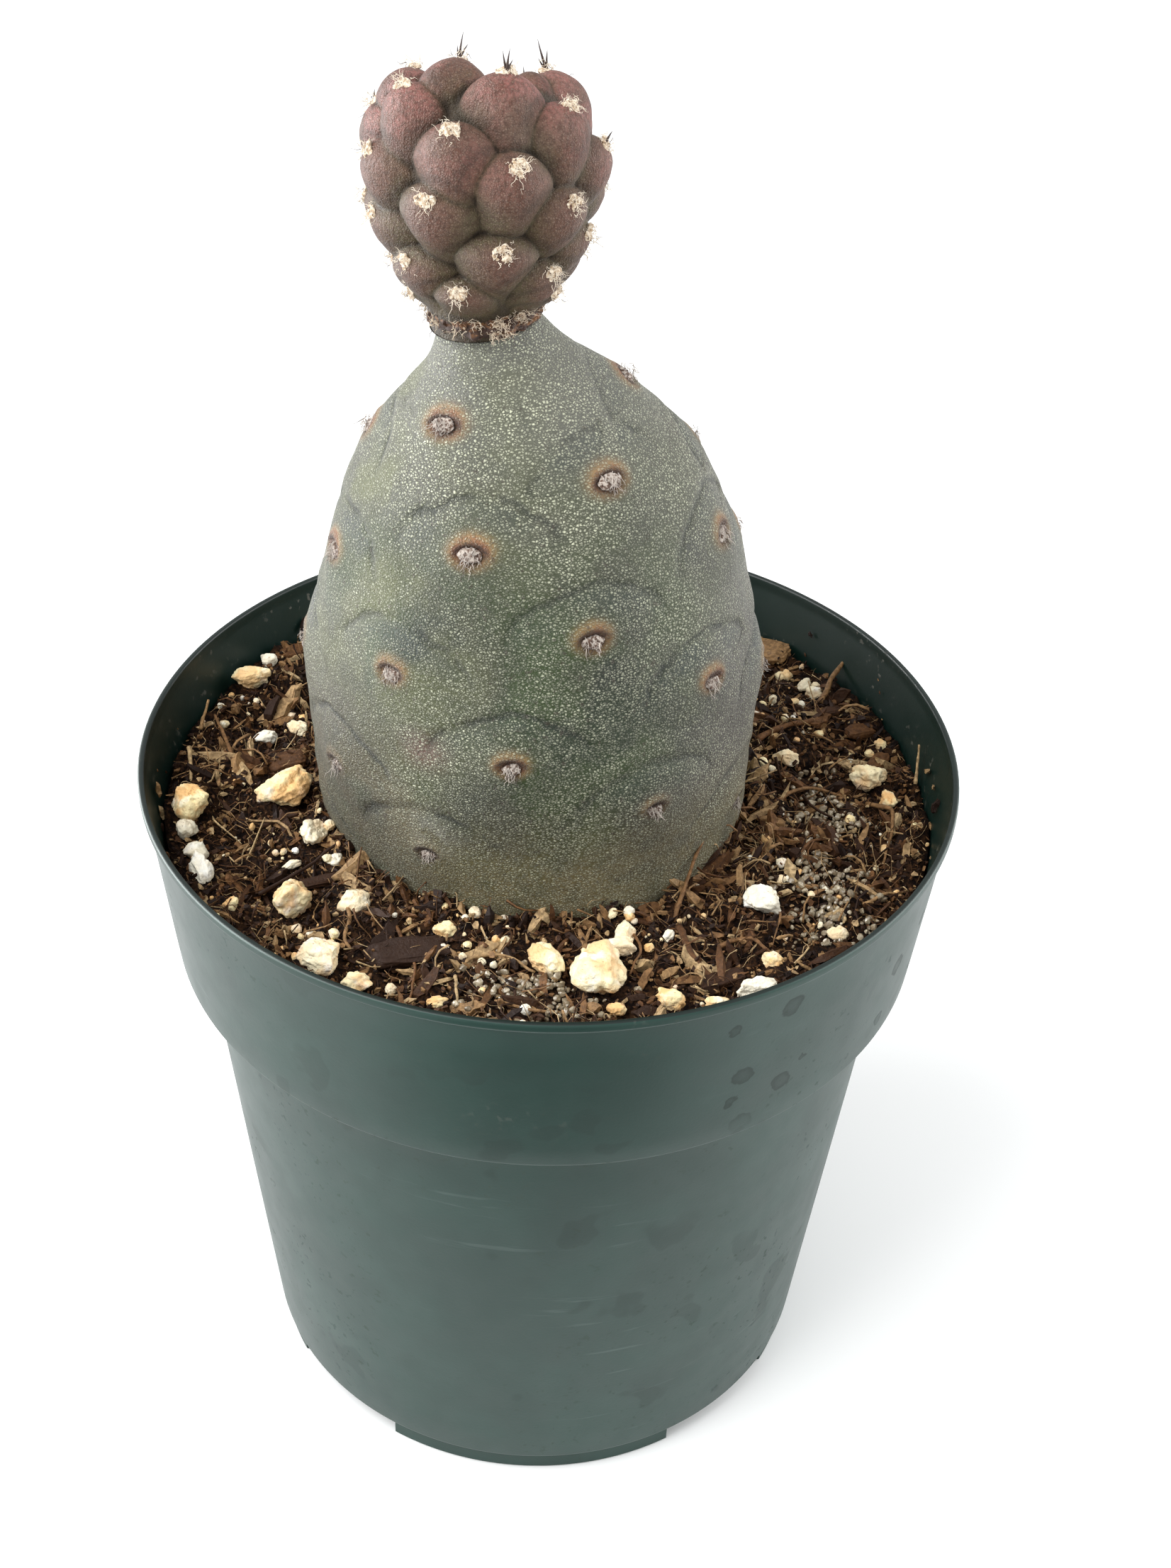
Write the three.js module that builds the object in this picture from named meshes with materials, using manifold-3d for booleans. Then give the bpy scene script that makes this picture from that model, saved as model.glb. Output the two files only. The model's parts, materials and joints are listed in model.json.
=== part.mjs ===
// Potted spineless pine cone cactus: a plastic nursery pot, potting mix, and a plant of two segments.
// Millimetres, +Z up, the origin on the floor under the middle of the pot, the front towards -Y.

import * as THREE from 'three';
import { mergeVertices } from 'three/addons/utils/BufferGeometryUtils.js';
import Module from 'manifold-3d';

const wasm = await Module();
wasm.setup();

const DEG = Math.PI / 180;
const GAP = 0.3;

// Pot sizes: a 4 inch nursery pot
const RIM_RADIUS = 50.8;
const POT_HEIGHT = 95.8;
const WALL = 1.1;
const FLOOR_TOP = 4.2;
const FOOT_HEIGHT = 3.0;
const BASE_RADIUS = 38.45;
const BODY_TOP_RADIUS = 44.8;
const BAND_BOTTOM = 71.0;
const BAND_BEVEL_TOP = 74.8;
const BAND_BOTTOM_RADIUS = 47.9;
const BAND_TOP_RADIUS = 50.2;
const LIP_BOTTOM = 94.4;
const POT_SIDES = 56;
const FOOT_COUNT = 4;
const FOOT_ANGLE = 60;
const FOOT_WIDTH = 2.2;
const DRAIN_RADIUS = 4.0;
const DRAIN_DISTANCE = 30.0;

// Potting mix
const SOIL_TOP = 87.0;
const SOIL_SIDES = 32;
const SOIL_WAVE = 0.5;
const LUMP_COUNT = 50;

// Lower segment: an upright ovoid that leans a little to the left
const LOWER_BASE = new THREE.Vector3(-1.3, 2.6, SOIL_TOP);
const LOWER_LEAN = [-6.0, -1.2];
const LOWER_BOW = 1.8;
const LOWER_LENGTH = 65.7;
const LOWER_OUTLINE = [
  [0, -15], [13, -14.2], [21.5, -10.5], [25.2, -5], [26.3, 0], [27.0, 10], [27.2, 20], [25.8, 29.5],
  [22.8, 39.5], [19.5, 47.3], [13.9, 54.6], [8.4, 60.6], [6.1, 64.4], [5.6, LOWER_LENGTH], [0, LOWER_LENGTH],
];
const LOWER_SIDES = 44;
const LOWER_MOUND = 1.1;
const LOWER_MOUND_REACH = 6.0;
const AREOLE_SIZE = [1.3, 1.1, 0.6];
const GOLDEN_TURN = -137.5;
const LOWER_FIRST_TURN = 1.3;
const LOWER_FIRST_HEIGHT = 57.1;
const LOWER_STEP = 1.76;
const LOWER_AREOLES = 32;
// Areoles that sit off the spiral: number, then turn in degrees and drop in millimetres
const LOWER_STRAYS = new Map([
  [0, [13, 1.2]], [1, [13, -2.6]], [4, [0, -2.2]], [5, [-10, 3.5]], [6, [0, -1.0]], [8, [4, 3.0]],
  [9, [-5, -0.7]], [14, [-2, -1.1]], [16, [0, 1.6]], [19, [-2, -0.9]], [27, [-4, -1.4]],
]);

// Upper segment: a short cone of plump tubercles that leans back
const UPPER_BASE = new THREE.Vector3(-8.95, 0.95, 152.3);
const UPPER_LEAN = [0.6, 11.9];
const UPPER_OUTLINE = [
  [5.5, -2.0], [5.6, 0], [6.6, 3.1], [8.6, 7.9], [10.5, 12.8], [11.2, 17.7], [10.1, 21.7], [8.1, 24.4],
  [3.2, 25.7], [2.6, 24.6], [0, 23.4],
];
const UPPER_SIDES = 48;
const UPPER_ROWS = 34;
// The crown slopes down to the back, from this height up and about a line at the front
const CROWN_SLOPE = 0.25;
const CROWN_START = 10;
const CROWN_FULL = 24;
const CROWN_FRONT = -5;
const TUBERCLE = { height: 2.5, halfWidth: 4.3, up: 3.4, down: 6.4, below: 1.5, lean: 0.3 };
const TUBERCLE_COUNT = 40;
const UPPER_TURN = -66.1;
const UPPER_FIRST_TURN = 258.4;
const UPPER_FIRST_DROP = 7.2;
const UPPER_STEP = 0.647;
// Tubercles that grew off the spiral: number, then turn in degrees and drop in millimetres
const UPPER_STRAYS = new Map([
  [0, [-22, -1.0]], [1, [0, 1.0]], [4, [0, -2.2]], [5, [-4, 0]], [6, [0, 0.6]], [9, [0, -3.2]],
  [10, [2, -0.6]], [11, [5, 1.6]], [12, [0, -2.2]], [15, [0, -0.9]], [16, [6, 0.6]], [17, [-9, -0.8]],
  [21, [9, 0.2]], [22, [0, -0.4]], [26, [4, 0.6]], [27, [9, 1.0]], [28, [-10, -2.0]], [32, [18, 0.8]],
  [33, [-18, -0.6]], [38, [-11, -0.9]],
]);
// How large the tubercles are along the way down from the middle of the crown
const TUBERCLE_SIZES = [[0, 0.55], [4, 0.72], [8, 0.9], [14, 1.0], [26, 1.0], [30, 0.85], [34, 0.7]];
const TUFT_SIZE = [1.4, 1.1, 0.75];
// Spines: tubercle number, length, and lean from the tubercle's own direction in degrees
const SPINES = [
  [0, 3.4, 0], [0, 1.6, 25], [5, 2.6, 8], [5, 2.2, -14], [4, 3.2, -6], [4, 1.8, 16], [4, 1.4, -26],
  [12, 1.4, 10], [15, 1.6, 12], [7, 1.8, 5], [2, 2.2, 6], [3, 2.0, -8], [9, 1.2, 0],
];
const SPINE_RADIUS = 0.24;
const COLLAR_RADIUS = 6.1;
const COLLAR_HEIGHT = 2.2;


// Solids

function toSolid(geometry) {
  const bare = new THREE.BufferGeometry();
  bare.setAttribute('position', geometry.getAttribute('position').clone());
  if (geometry.index) bare.setIndex(geometry.index.clone());
  const welded = mergeVertices(bare, 1e-4);
  const corners = welded.index.array;
  const kept = [];
  for (let i = 0; i < corners.length; i += 3) {
    const [a, b, c] = [corners[i], corners[i + 1], corners[i + 2]];
    if (a !== b && b !== c && c !== a) kept.push(a, b, c);
  }
  return new wasm.Manifold(new wasm.Mesh({
    numProp: 3,
    vertProperties: Float32Array.from(welded.getAttribute('position').array),
    triVerts: Uint32Array.from(kept),
  }));
}

function toMesh(solid, name, look) {
  const data = solid.getMesh();
  const geometry = new THREE.BufferGeometry();
  geometry.setAttribute('position', new THREE.Float32BufferAttribute(data.vertProperties, 3));
  geometry.setIndex(Array.from(data.triVerts));
  geometry.computeVertexNormals();
  const mesh = new THREE.Mesh(geometry, new THREE.MeshStandardMaterial(look));
  mesh.name = name;
  return mesh;
}

function union(solids) {
  return wasm.Manifold.union(solids);
}

// A closed body turned from an outline that runs from the bottom to the top, [radius, height] each.
// place(row, angle) may move its points; the angle is counted from +X towards +Y.
function turned(outline, sides, place) {
  const points = outline.map(([radius, height]) => new THREE.Vector2(radius, height));
  const geometry = new THREE.LatheGeometry(points, sides);
  geometry.rotateX(Math.PI / 2);
  if (place) {
    const position = geometry.getAttribute('position');
    for (let i = 0; i < position.count; i += 1) {
      const row = i % points.length;
      const column = Math.floor(i / points.length) % sides;
      const spot = place(row, (2 * Math.PI * column) / sides - Math.PI / 2);
      position.setXYZ(i, spot.x, spot.y, spot.z);
    }
  }
  return toSolid(geometry);
}

// The same draws on every run
function seededRandom(seed) {
  let state = seed;
  return () => {
    state = (state * 1664525 + 1013904223) % 4294967296;
    return state / 4294967296;
  };
}

function mix(pairs, x) {
  if (x <= pairs[0][0]) return pairs[0][1];
  for (let i = 1; i < pairs.length; i += 1) {
    const [x0, y0] = pairs[i - 1];
    const [x1, y1] = pairs[i];
    if (x <= x1) return y0 + ((y1 - y0) * (x - x0)) / (x1 - x0);
  }
  return pairs[pairs.length - 1][1];
}

// The directions of a segment that leans by two angles: along it, to its right and to its back
function leaningFrame([leanRight, leanBack]) {
  const along = new THREE.Vector3(Math.tan(leanRight * DEG), Math.tan(leanBack * DEG), 1).normalize();
  const right = new THREE.Vector3(0, 1, 0).cross(along).normalize();
  const back = along.clone().cross(right);
  return { along, right, back };
}

function inFrame(frame, origin, x, y, z) {
  return origin.clone().addScaledVector(frame.right, x).addScaledVector(frame.back, y)
    .addScaledVector(frame.along, z);
}

// A flat pad of wool on the skin, with its outward direction
function makeWool(size, scale, spot, outward) {
  const pad = new THREE.IcosahedronGeometry(1, 0);
  pad.scale(size[0] * scale, size[1] * scale, size[2] * scale);
  const turn = new THREE.Quaternion();
  turn.setFromUnitVectors(new THREE.Vector3(0, 0, 1), outward.clone().normalize());
  pad.applyQuaternion(turn);
  pad.translate(spot.x, spot.y, spot.z);
  return toSolid(pad);
}

// An outline as an even curve with its place and slope at each step
function evenOutline(pairs) {
  const curve = new THREE.SplineCurve(pairs.map(([radius, height]) => new THREE.Vector2(radius, height)));
  curve.arcLengthDivisions = 400;
  const length = curve.getLength();
  const at = (distance) => {
    const u = Math.min(Math.max(distance / length, 0), 1);
    const point = curve.getPointAt(u);
    const slope = curve.getTangentAt(u);
    return { radius: Math.max(point.x, 0), height: point.y, out: slope.x, rise: slope.y };
  };
  return { length, at };
}


// Pot

function makePot() {
  const inner = (radius) => radius - WALL;
  const outline = [
    [0, FOOT_HEIGHT], [BASE_RADIUS - 0.6, FOOT_HEIGHT], [BASE_RADIUS, FOOT_HEIGHT + 0.6],
    [BODY_TOP_RADIUS, BAND_BOTTOM], [BAND_BOTTOM_RADIUS - 0.3, BAND_BOTTOM],
    [BAND_BOTTOM_RADIUS, BAND_BOTTOM + 0.3], [BAND_BOTTOM_RADIUS + 0.4, BAND_BEVEL_TOP],
    [BAND_TOP_RADIUS, LIP_BOTTOM], [RIM_RADIUS - 0.1, LIP_BOTTOM + 0.2], [RIM_RADIUS, LIP_BOTTOM + 0.7],
    [RIM_RADIUS - 0.4, POT_HEIGHT - 0.1], [RIM_RADIUS - 1.0, POT_HEIGHT],
    [RIM_RADIUS - 1.5, POT_HEIGHT - 0.4], [inner(BAND_TOP_RADIUS), LIP_BOTTOM],
    [inner(BAND_BOTTOM_RADIUS + 0.4), BAND_BEVEL_TOP], [inner(BAND_BOTTOM_RADIUS), BAND_BOTTOM + WALL + 0.6],
    [inner(BAND_BOTTOM_RADIUS) - 0.6, BAND_BOTTOM + WALL], [inner(BODY_TOP_RADIUS) + 0.5, BAND_BOTTOM + WALL],
    [inner(BODY_TOP_RADIUS), BAND_BOTTOM + 0.5], [inner(BASE_RADIUS), FLOOR_TOP + 0.6],
    [inner(BASE_RADIUS) - 0.6, FLOOR_TOP], [0, FLOOR_TOP],
  ];
  const shell = turned(outline, POT_SIDES);
  const feet = [];
  const drains = [];
  for (let i = 0; i < FOOT_COUNT; i += 1) {
    const middle = -90 + (360 / FOOT_COUNT) * i;
    feet.push(makeFoot(middle));
    const side = (middle + 180 / FOOT_COUNT) * DEG;
    drains.push(makeDrain(DRAIN_DISTANCE * Math.cos(side), DRAIN_DISTANCE * Math.sin(side)));
  }
  drains.push(makeDrain(0, 0));
  return union([shell, ...feet]).subtract(union(drains));
}

function makeFoot(middle) {
  const start = (middle - FOOT_ANGLE / 2) * DEG;
  const end = (middle + FOOT_ANGLE / 2) * DEG;
  const outer = BASE_RADIUS - 0.65;
  const section = new THREE.Shape();
  section.absarc(0, 0, outer, start, end, false);
  section.absarc(0, 0, outer - FOOT_WIDTH, end, start, true);
  return toSolid(new THREE.ExtrudeGeometry(section, {
    depth: FOOT_HEIGHT + 0.4, bevelEnabled: false, curveSegments: 7,
  }));
}

function makeDrain(x, y) {
  const hole = new THREE.CylinderGeometry(DRAIN_RADIUS, DRAIN_RADIUS, 4, 12);
  hole.rotateX(Math.PI / 2);
  hole.translate(x, y, (FOOT_HEIGHT + FLOOR_TOP) / 2);
  return toSolid(hole);
}


// Lower segment

const lowerFrame = leaningFrame(LOWER_LEAN);
const lowerCurve = evenOutline(LOWER_OUTLINE.slice(4, 14));

function lowerCentre(height) {
  const t = height / LOWER_LENGTH;
  return inFrame(lowerFrame, LOWER_BASE, t > 0 ? LOWER_BOW * 6.75 * t * t * (1 - t) : 0, 0, height);
}

function lowerSkin(radius, height, angle) {
  return lowerCentre(height).addScaledVector(lowerFrame.right, radius * Math.cos(angle))
    .addScaledVector(lowerFrame.back, radius * Math.sin(angle));
}

// Where the curve of the outline reaches a height
function lowerRadius(height) {
  let low = 0;
  let high = lowerCurve.length;
  for (let i = 0; i < 30; i += 1) {
    const half = (low + high) / 2;
    if (lowerCurve.at(half).height < height) low = half;
    else high = half;
  }
  return lowerCurve.at(low).radius;
}

function lowerAreoles() {
  const spots = [];
  for (let k = 0; k < LOWER_AREOLES; k += 1) {
    const [turn, drop] = LOWER_STRAYS.get(k) ?? [0, 0];
    const angle = (LOWER_FIRST_TURN + GOLDEN_TURN * k + turn) * DEG;
    const height = LOWER_FIRST_HEIGHT - LOWER_STEP * k - drop;
    spots.push({ angle, height, point: lowerSkin(lowerRadius(height), height, angle) });
  }
  return spots;
}

function lowerRelief(point, height, areoles) {
  const rise = Math.min(Math.max((height - 1.5) / 6, 0), 1) * Math.min((LOWER_LENGTH - height) / 5, 1);
  let total = 0;
  for (const areole of areoles) {
    total += Math.exp(-((point.distanceTo(areole.point) / LOWER_MOUND_REACH) ** 2));
  }
  return LOWER_MOUND * total * Math.max(rise, 0);
}

function makeLower() {
  const areoles = lowerAreoles();
  const rows = 22;
  const outline = LOWER_OUTLINE.slice(0, 4);
  for (let i = 0; i <= rows; i += 1) {
    const { radius, height } = lowerCurve.at((lowerCurve.length * i) / rows);
    outline.push([radius, height]);
  }
  outline.push([0, LOWER_LENGTH]);
  const body = turned(outline, LOWER_SIDES, (row, angle) => {
    const [radius, height] = outline[row];
    const point = lowerSkin(radius, height, angle);
    return lowerSkin(radius > 0 ? radius + lowerRelief(point, height, areoles) : 0, height, angle);
  });
  const plugs = areoles.map((areole) => {
    const radius = lowerRadius(areole.height) + lowerRelief(areole.point, areole.height, areoles);
    const spot = lowerSkin(radius, areole.height, areole.angle);
    return makeWool(AREOLE_SIZE, 1, spot, spot.clone().sub(lowerCentre(areole.height)));
  });
  return union([body, ...plugs]);
}

// What the buried base needs, a little wider than the base itself, and open above the mix
function makeSocket() {
  const outline = LOWER_OUTLINE.slice(0, 5)
    .map(([radius, height]) => [radius > 0 ? radius + GAP : 0, height - GAP]);
  const widest = LOWER_OUTLINE[4][0] + GAP;
  outline.push([widest + 0.2, 2.5], [widest + 0.9, 6], [0, 6]);
  return turned(outline, LOWER_SIDES, (row, angle) => lowerSkin(outline[row][0], outline[row][1], angle));
}


// Potting mix, with its perlite and bark

function soilHeight(x, y) {
  const wave = Math.sin(x * 0.31 + 1.3) * Math.cos(y * 0.27 - 0.4) + 0.6 * Math.sin(x * 0.13 - y * 0.19);
  return SOIL_TOP + SOIL_WAVE * wave;
}

function soilEdge(height) {
  const slope = (BAND_TOP_RADIUS - BAND_BOTTOM_RADIUS - 0.4) / (LIP_BOTTOM - BAND_BEVEL_TOP);
  return BAND_BOTTOM_RADIUS + 0.4 - WALL - GAP + slope * (height - BAND_BEVEL_TOP);
}

// Pieces that lie on top: x, y and size of those that stand out, and the rest at random
const LARGE_LUMPS = [
  [6.3, -34.5, 4.2], [-0.4, -31.0, 3.0], [-33.8, -0.7, 3.6], [-25.5, -32.6, 3.0], [-21.4, -36.0, 2.7],
  [-30.4, -22.3, 2.9], [-22.6, -24.3, 2.2], [26.4, -20.6, 2.4], [25.0, -34.0, 2.5], [40.6, 4.9, 2.5],
  [-42.0, -16.5, 2.4], [-41.6, 8.5, 2.4], [14.3, -38.0, 2.0], [9.2, -29.3, 2.2], [31.0, 30.0, 3.0],
  [-17.3, -29.6, 2.6], [-38.5, 20.5, 2.2], [-30.5, -11.0, 2.4], [4.0, 38.0, 3.0], [-16.0, 38.5, 2.6],
];

function makeLump(x, y, size, random) {
  const lump = new THREE.IcosahedronGeometry(size, 0);
  const stretch = [0.8 + 0.45 * random(), 0.8 + 0.35 * random(), 0.6 + 0.25 * random()];
  lump.scale(...stretch);
  lump.rotateZ(random() * Math.PI);
  lump.rotateX((random() - 0.5) * 0.8);
  lump.translate(x, y, soilHeight(x, y) + size * 0.15);
  return toSolid(lump);
}

function makeLumps() {
  const random = seededRandom(7);
  const lumps = LARGE_LUMPS.map(([x, y, size]) => makeLump(x, y, size, random));
  while (lumps.length < LUMP_COUNT) {
    const angle = 2 * Math.PI * random();
    const size = 0.9 + 1.3 * random() ** 2;
    const distance = 29.5 + size + (46.0 - 30.5 - 2.6 * size) * random();
    lumps.push(makeLump(distance * Math.cos(angle), distance * Math.sin(angle), size, random));
  }
  return lumps;
}

function makeSoil() {
  const inner = (radius) => radius - WALL - GAP;
  const side = [
    [0, FLOOR_TOP + GAP], [inner(BASE_RADIUS) - 0.7, FLOOR_TOP + GAP], [inner(BASE_RADIUS), FLOOR_TOP + 0.9],
    [inner(BODY_TOP_RADIUS), BAND_BOTTOM + 0.7], [inner(BODY_TOP_RADIUS) + 0.5, BAND_BOTTOM + WALL + GAP],
    [inner(BAND_BOTTOM_RADIUS) - 0.5, BAND_BOTTOM + WALL + GAP],
    [inner(BAND_BOTTOM_RADIUS), BAND_BOTTOM + WALL + 0.9], [soilEdge(BAND_BEVEL_TOP), BAND_BEVEL_TOP],
  ];
  const rings = [soilEdge(SOIL_TOP) - 0.1, 45.5, 42, 38.5, 35, 31.5, 28, 20, 0];
  const outline = [...side, ...rings.map((radius) => [radius, SOIL_TOP])];
  const body = turned(outline, SOIL_SIDES, (row, angle) => {
    const [radius, height] = outline[row];
    const x = radius * Math.cos(angle);
    const y = radius * Math.sin(angle);
    return new THREE.Vector3(x, y, row < side.length ? height : soilHeight(x, y));
  });
  const clearance = turned([
    [0, SOIL_TOP - 4], [soilEdge(SOIL_TOP - 4), SOIL_TOP - 4], [soilEdge(SOIL_TOP + 6), SOIL_TOP + 6],
    [0, SOIL_TOP + 6],
  ], SOIL_SIDES);
  const top = union(makeLumps()).intersect(clearance);
  return union([body, top]).subtract(makeSocket());
}


// Upper segment

const upperFrame = leaningFrame(UPPER_LEAN);
const upperCurve = evenOutline(UPPER_OUTLINE);

function tuberclesOfUpper() {
  const list = [];
  for (let k = 0; k < TUBERCLE_COUNT; k += 1) {
    const [turn, lower] = UPPER_STRAYS.get(k) ?? [0, 0];
    const angle = (UPPER_FIRST_TURN + UPPER_TURN * k + turn) * DEG;
    const drop = UPPER_FIRST_DROP + UPPER_STEP * k + lower;
    const size = mix(TUBERCLE_SIZES, drop);
    const { radius, height, out, rise } = upperCurve.at(
      upperCurve.length - drop - TUBERCLE.below * size,
    );
    const [c, s] = [Math.cos(angle), Math.sin(angle)];
    list.push({
      angle,
      drop,
      size,
      centre: new THREE.Vector3(radius * c, radius * s, height),
      upward: new THREE.Vector3(out * c, out * s, rise),
      outward: new THREE.Vector3(rise * c, rise * s, -out),
      sideward: new THREE.Vector3(-s, c, 0),
    });
  }
  return list;
}

const tubercles = tuberclesOfUpper();

// A tubercle is an egg-shaped dome, blunt above and drawn out below
function tubercleHeight(tubercle, point) {
  const offset = point.clone().sub(tubercle.centre);
  if (offset.dot(tubercle.outward) < -6) return 0;
  const up = offset.dot(tubercle.upward) / tubercle.size;
  const along = up > 0 ? up / TUBERCLE.up : up / TUBERCLE.down;
  const narrowing = 1 - 0.3 * Math.min(Math.max(-along, 0), 1) ** 1.5;
  const across = offset.dot(tubercle.sideward) / (TUBERCLE.halfWidth * tubercle.size * narrowing);
  const inside = 1 - across ** 2 - along ** 2;
  if (inside <= 0) return 0;
  const blunt = Math.min(Math.max((up / TUBERCLE.up + 1) / 2, 0), 1);
  return TUBERCLE.height * tubercle.size * inside ** (1.5 * (1 - blunt) + 0.6 * blunt);
}

// A point of the skin in the segment's own directions, by its distance along the outline
function upperSkin(distance, angle) {
  const { radius, height, out, rise } = upperCurve.at(distance);
  const [c, s] = [Math.cos(angle), Math.sin(angle)];
  const point = new THREE.Vector3(radius * c, radius * s, height);
  if (radius < 0.05) return point;
  const bump = Math.max(...tubercles.map((tubercle) => tubercleHeight(tubercle, point)));
  const outward = new THREE.Vector3(rise * c, rise * s, -out);
  const upward = new THREE.Vector3(out * c, out * s, rise);
  return point.addScaledVector(outward, bump).addScaledVector(upward, bump * TUBERCLE.lean);
}

function upperPlace(point) {
  const part = Math.min(Math.max((point.z - CROWN_START) / (CROWN_FULL - CROWN_START), 0), 1);
  const slope = CROWN_SLOPE * part * part * (3 - 2 * part);
  return inFrame(upperFrame, UPPER_BASE, point.x, point.y, point.z - slope * (point.y - CROWN_FRONT));
}

function upperTip(tubercle) {
  return upperPlace(upperSkin(upperCurve.length - tubercle.drop, tubercle.angle));
}

function upperDirection(tubercle, upward) {
  const tip = tubercle.outward.clone().addScaledVector(tubercle.upward, upward).normalize();
  return inFrame(upperFrame, new THREE.Vector3(), tip.x, tip.y, tip.z);
}

function makeTuft(tubercle) {
  return makeWool(TUFT_SIZE, 0.4 + 0.6 * tubercle.size, upperTip(tubercle), upperDirection(tubercle, 0.7));
}

function makeSpine([number, length, lean]) {
  const tubercle = tubercles[number];
  const root = 0.9;
  const spine = new THREE.ConeGeometry(SPINE_RADIUS, length + root, 4);
  spine.translate(0, (length - root) / 2, 0);
  const direction = upperDirection(tubercle, 1.4).lerp(new THREE.Vector3(0, 0, 1), 0.6);
  direction.applyAxisAngle(new THREE.Vector3(0, 1, 0), lean * DEG).normalize();
  spine.applyQuaternion(new THREE.Quaternion().setFromUnitVectors(new THREE.Vector3(0, 1, 0), direction));
  const tip = upperTip(tubercle);
  spine.translate(tip.x, tip.y, tip.z);
  return toSolid(spine);
}

// The corky ring that sits on the lower segment, with the gap between two touching pieces
function makeCollar() {
  const outline = [
    [0, GAP], [COLLAR_RADIUS - 0.6, GAP], [COLLAR_RADIUS, GAP + 0.6], [COLLAR_RADIUS - 0.1, GAP + 1.4],
    [COLLAR_RADIUS - 0.6, COLLAR_HEIGHT], [0, COLLAR_HEIGHT],
  ];
  return turned(outline, 24, (row, angle) => lowerSkin(
    outline[row][0],
    LOWER_LENGTH + outline[row][1],
    angle,
  ));
}

function makeUpper() {
  const step = upperCurve.length / UPPER_ROWS;
  const rows = [[0, UPPER_OUTLINE[0][1]]];
  for (let i = 0; i <= UPPER_ROWS; i += 1) {
    const { radius, height } = upperCurve.at(step * i);
    rows.push([radius, height]);
  }
  const underside = new THREE.Vector3(0, 0, rows[0][1]);
  const body = turned(rows, UPPER_SIDES, (row, angle) => (
    upperPlace(row === 0 ? underside : upperSkin(step * (row - 1), angle))
  ));
  const joint = lowerCentre(LOWER_LENGTH).addScaledVector(lowerFrame.along, GAP);
  const whole = union([body, makeCollar(), ...tubercles.map(makeTuft), ...SPINES.map(makeSpine)]);
  return whole.trimByPlane(lowerFrame.along.toArray(), joint.dot(lowerFrame.along));
}


// The part

const part = new THREE.Group();
part.name = 'potted_pine_cone_cactus';
part.add(toMesh(makePot(), 'pot', { color: 0x24423a, roughness: 0.45, metalness: 0 }));
part.add(toMesh(makeSoil(), 'soil', { color: 0x4a3324, roughness: 0.95, metalness: 0 }));
part.add(toMesh(makeLower(), 'lower_segment', { color: 0x6f7a68, roughness: 0.6, metalness: 0 }));
part.add(toMesh(makeUpper(), 'upper_segment', { color: 0x8a6b62, roughness: 0.6, metalness: 0 }));

export default part;
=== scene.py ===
"""A potted spineless pine cone cactus: the finished pot, potting mix and plant, made around the fixed model.

Each piece has its own operator, and the sidebar panel lists them in the order in which they are made.
"""

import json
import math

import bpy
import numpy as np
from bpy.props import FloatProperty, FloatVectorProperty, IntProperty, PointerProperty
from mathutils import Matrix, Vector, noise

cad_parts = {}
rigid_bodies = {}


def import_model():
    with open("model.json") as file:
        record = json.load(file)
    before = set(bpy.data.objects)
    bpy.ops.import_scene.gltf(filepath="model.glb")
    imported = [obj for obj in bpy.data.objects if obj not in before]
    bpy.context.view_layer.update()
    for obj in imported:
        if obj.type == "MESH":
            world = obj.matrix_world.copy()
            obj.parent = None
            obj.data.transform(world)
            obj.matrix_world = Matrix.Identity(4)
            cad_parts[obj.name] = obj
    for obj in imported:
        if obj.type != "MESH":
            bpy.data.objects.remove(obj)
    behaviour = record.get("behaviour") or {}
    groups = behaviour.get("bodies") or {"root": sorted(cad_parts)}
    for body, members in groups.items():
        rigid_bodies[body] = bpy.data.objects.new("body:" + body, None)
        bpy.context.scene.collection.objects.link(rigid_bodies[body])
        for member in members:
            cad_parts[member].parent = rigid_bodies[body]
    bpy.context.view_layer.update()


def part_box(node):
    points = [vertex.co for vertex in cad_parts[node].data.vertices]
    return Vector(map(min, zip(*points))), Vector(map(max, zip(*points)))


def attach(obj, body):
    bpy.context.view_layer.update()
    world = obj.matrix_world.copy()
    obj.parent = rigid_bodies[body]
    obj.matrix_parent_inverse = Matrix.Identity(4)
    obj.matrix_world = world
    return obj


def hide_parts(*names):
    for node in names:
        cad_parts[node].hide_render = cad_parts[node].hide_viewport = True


bl_info = {
    "name": "Potted Pine Cone Cactus",
    "version": (1, 0, 0),
    "blender": (4, 5, 0),
    "location": "3D View > Sidebar > Cactus",
    "description": "Builds a cactus of two segments with its areoles, wool and spines, its mix and its pot",
    "category": "Object",
}

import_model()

# The shape functions count in millimetres, and a mesh gets metres
MM = 0.001
POT_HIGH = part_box("pot")[1]
RIM_RADIUS = POT_HIGH.x / MM
POT_HEIGHT = POT_HIGH.z / MM

# Pot
WALL = 1.1
FLOOR_TOP = 4.2
FOOT_HEIGHT = 3.0
BASE_RADIUS = 38.45
BODY_TOP_RADIUS = 44.8
BAND_BOTTOM = 71.0
BAND_BEVEL_TOP = 74.8
BAND_BOTTOM_RADIUS = 47.9
BEVEL_OUT = 0.4
BAND_TOP_RADIUS = 50.2
LIP_BOTTOM = 94.4
LIP_WIDTH = 0.8
FOOT_COUNT = 4
FOOT_ANGLE = 60
FOOT_WIDTH = 2.2
FOOT_INSET = 0.65
FOOT_BEVEL = 0.25
DRAIN_RADIUS = 4.0
DRAIN_DISTANCE = 30.0

# Potting mix
SOIL_TOP = 87.0
MIX_GAP = 0.3
SOCKET_DEPTH = 9.0

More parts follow.
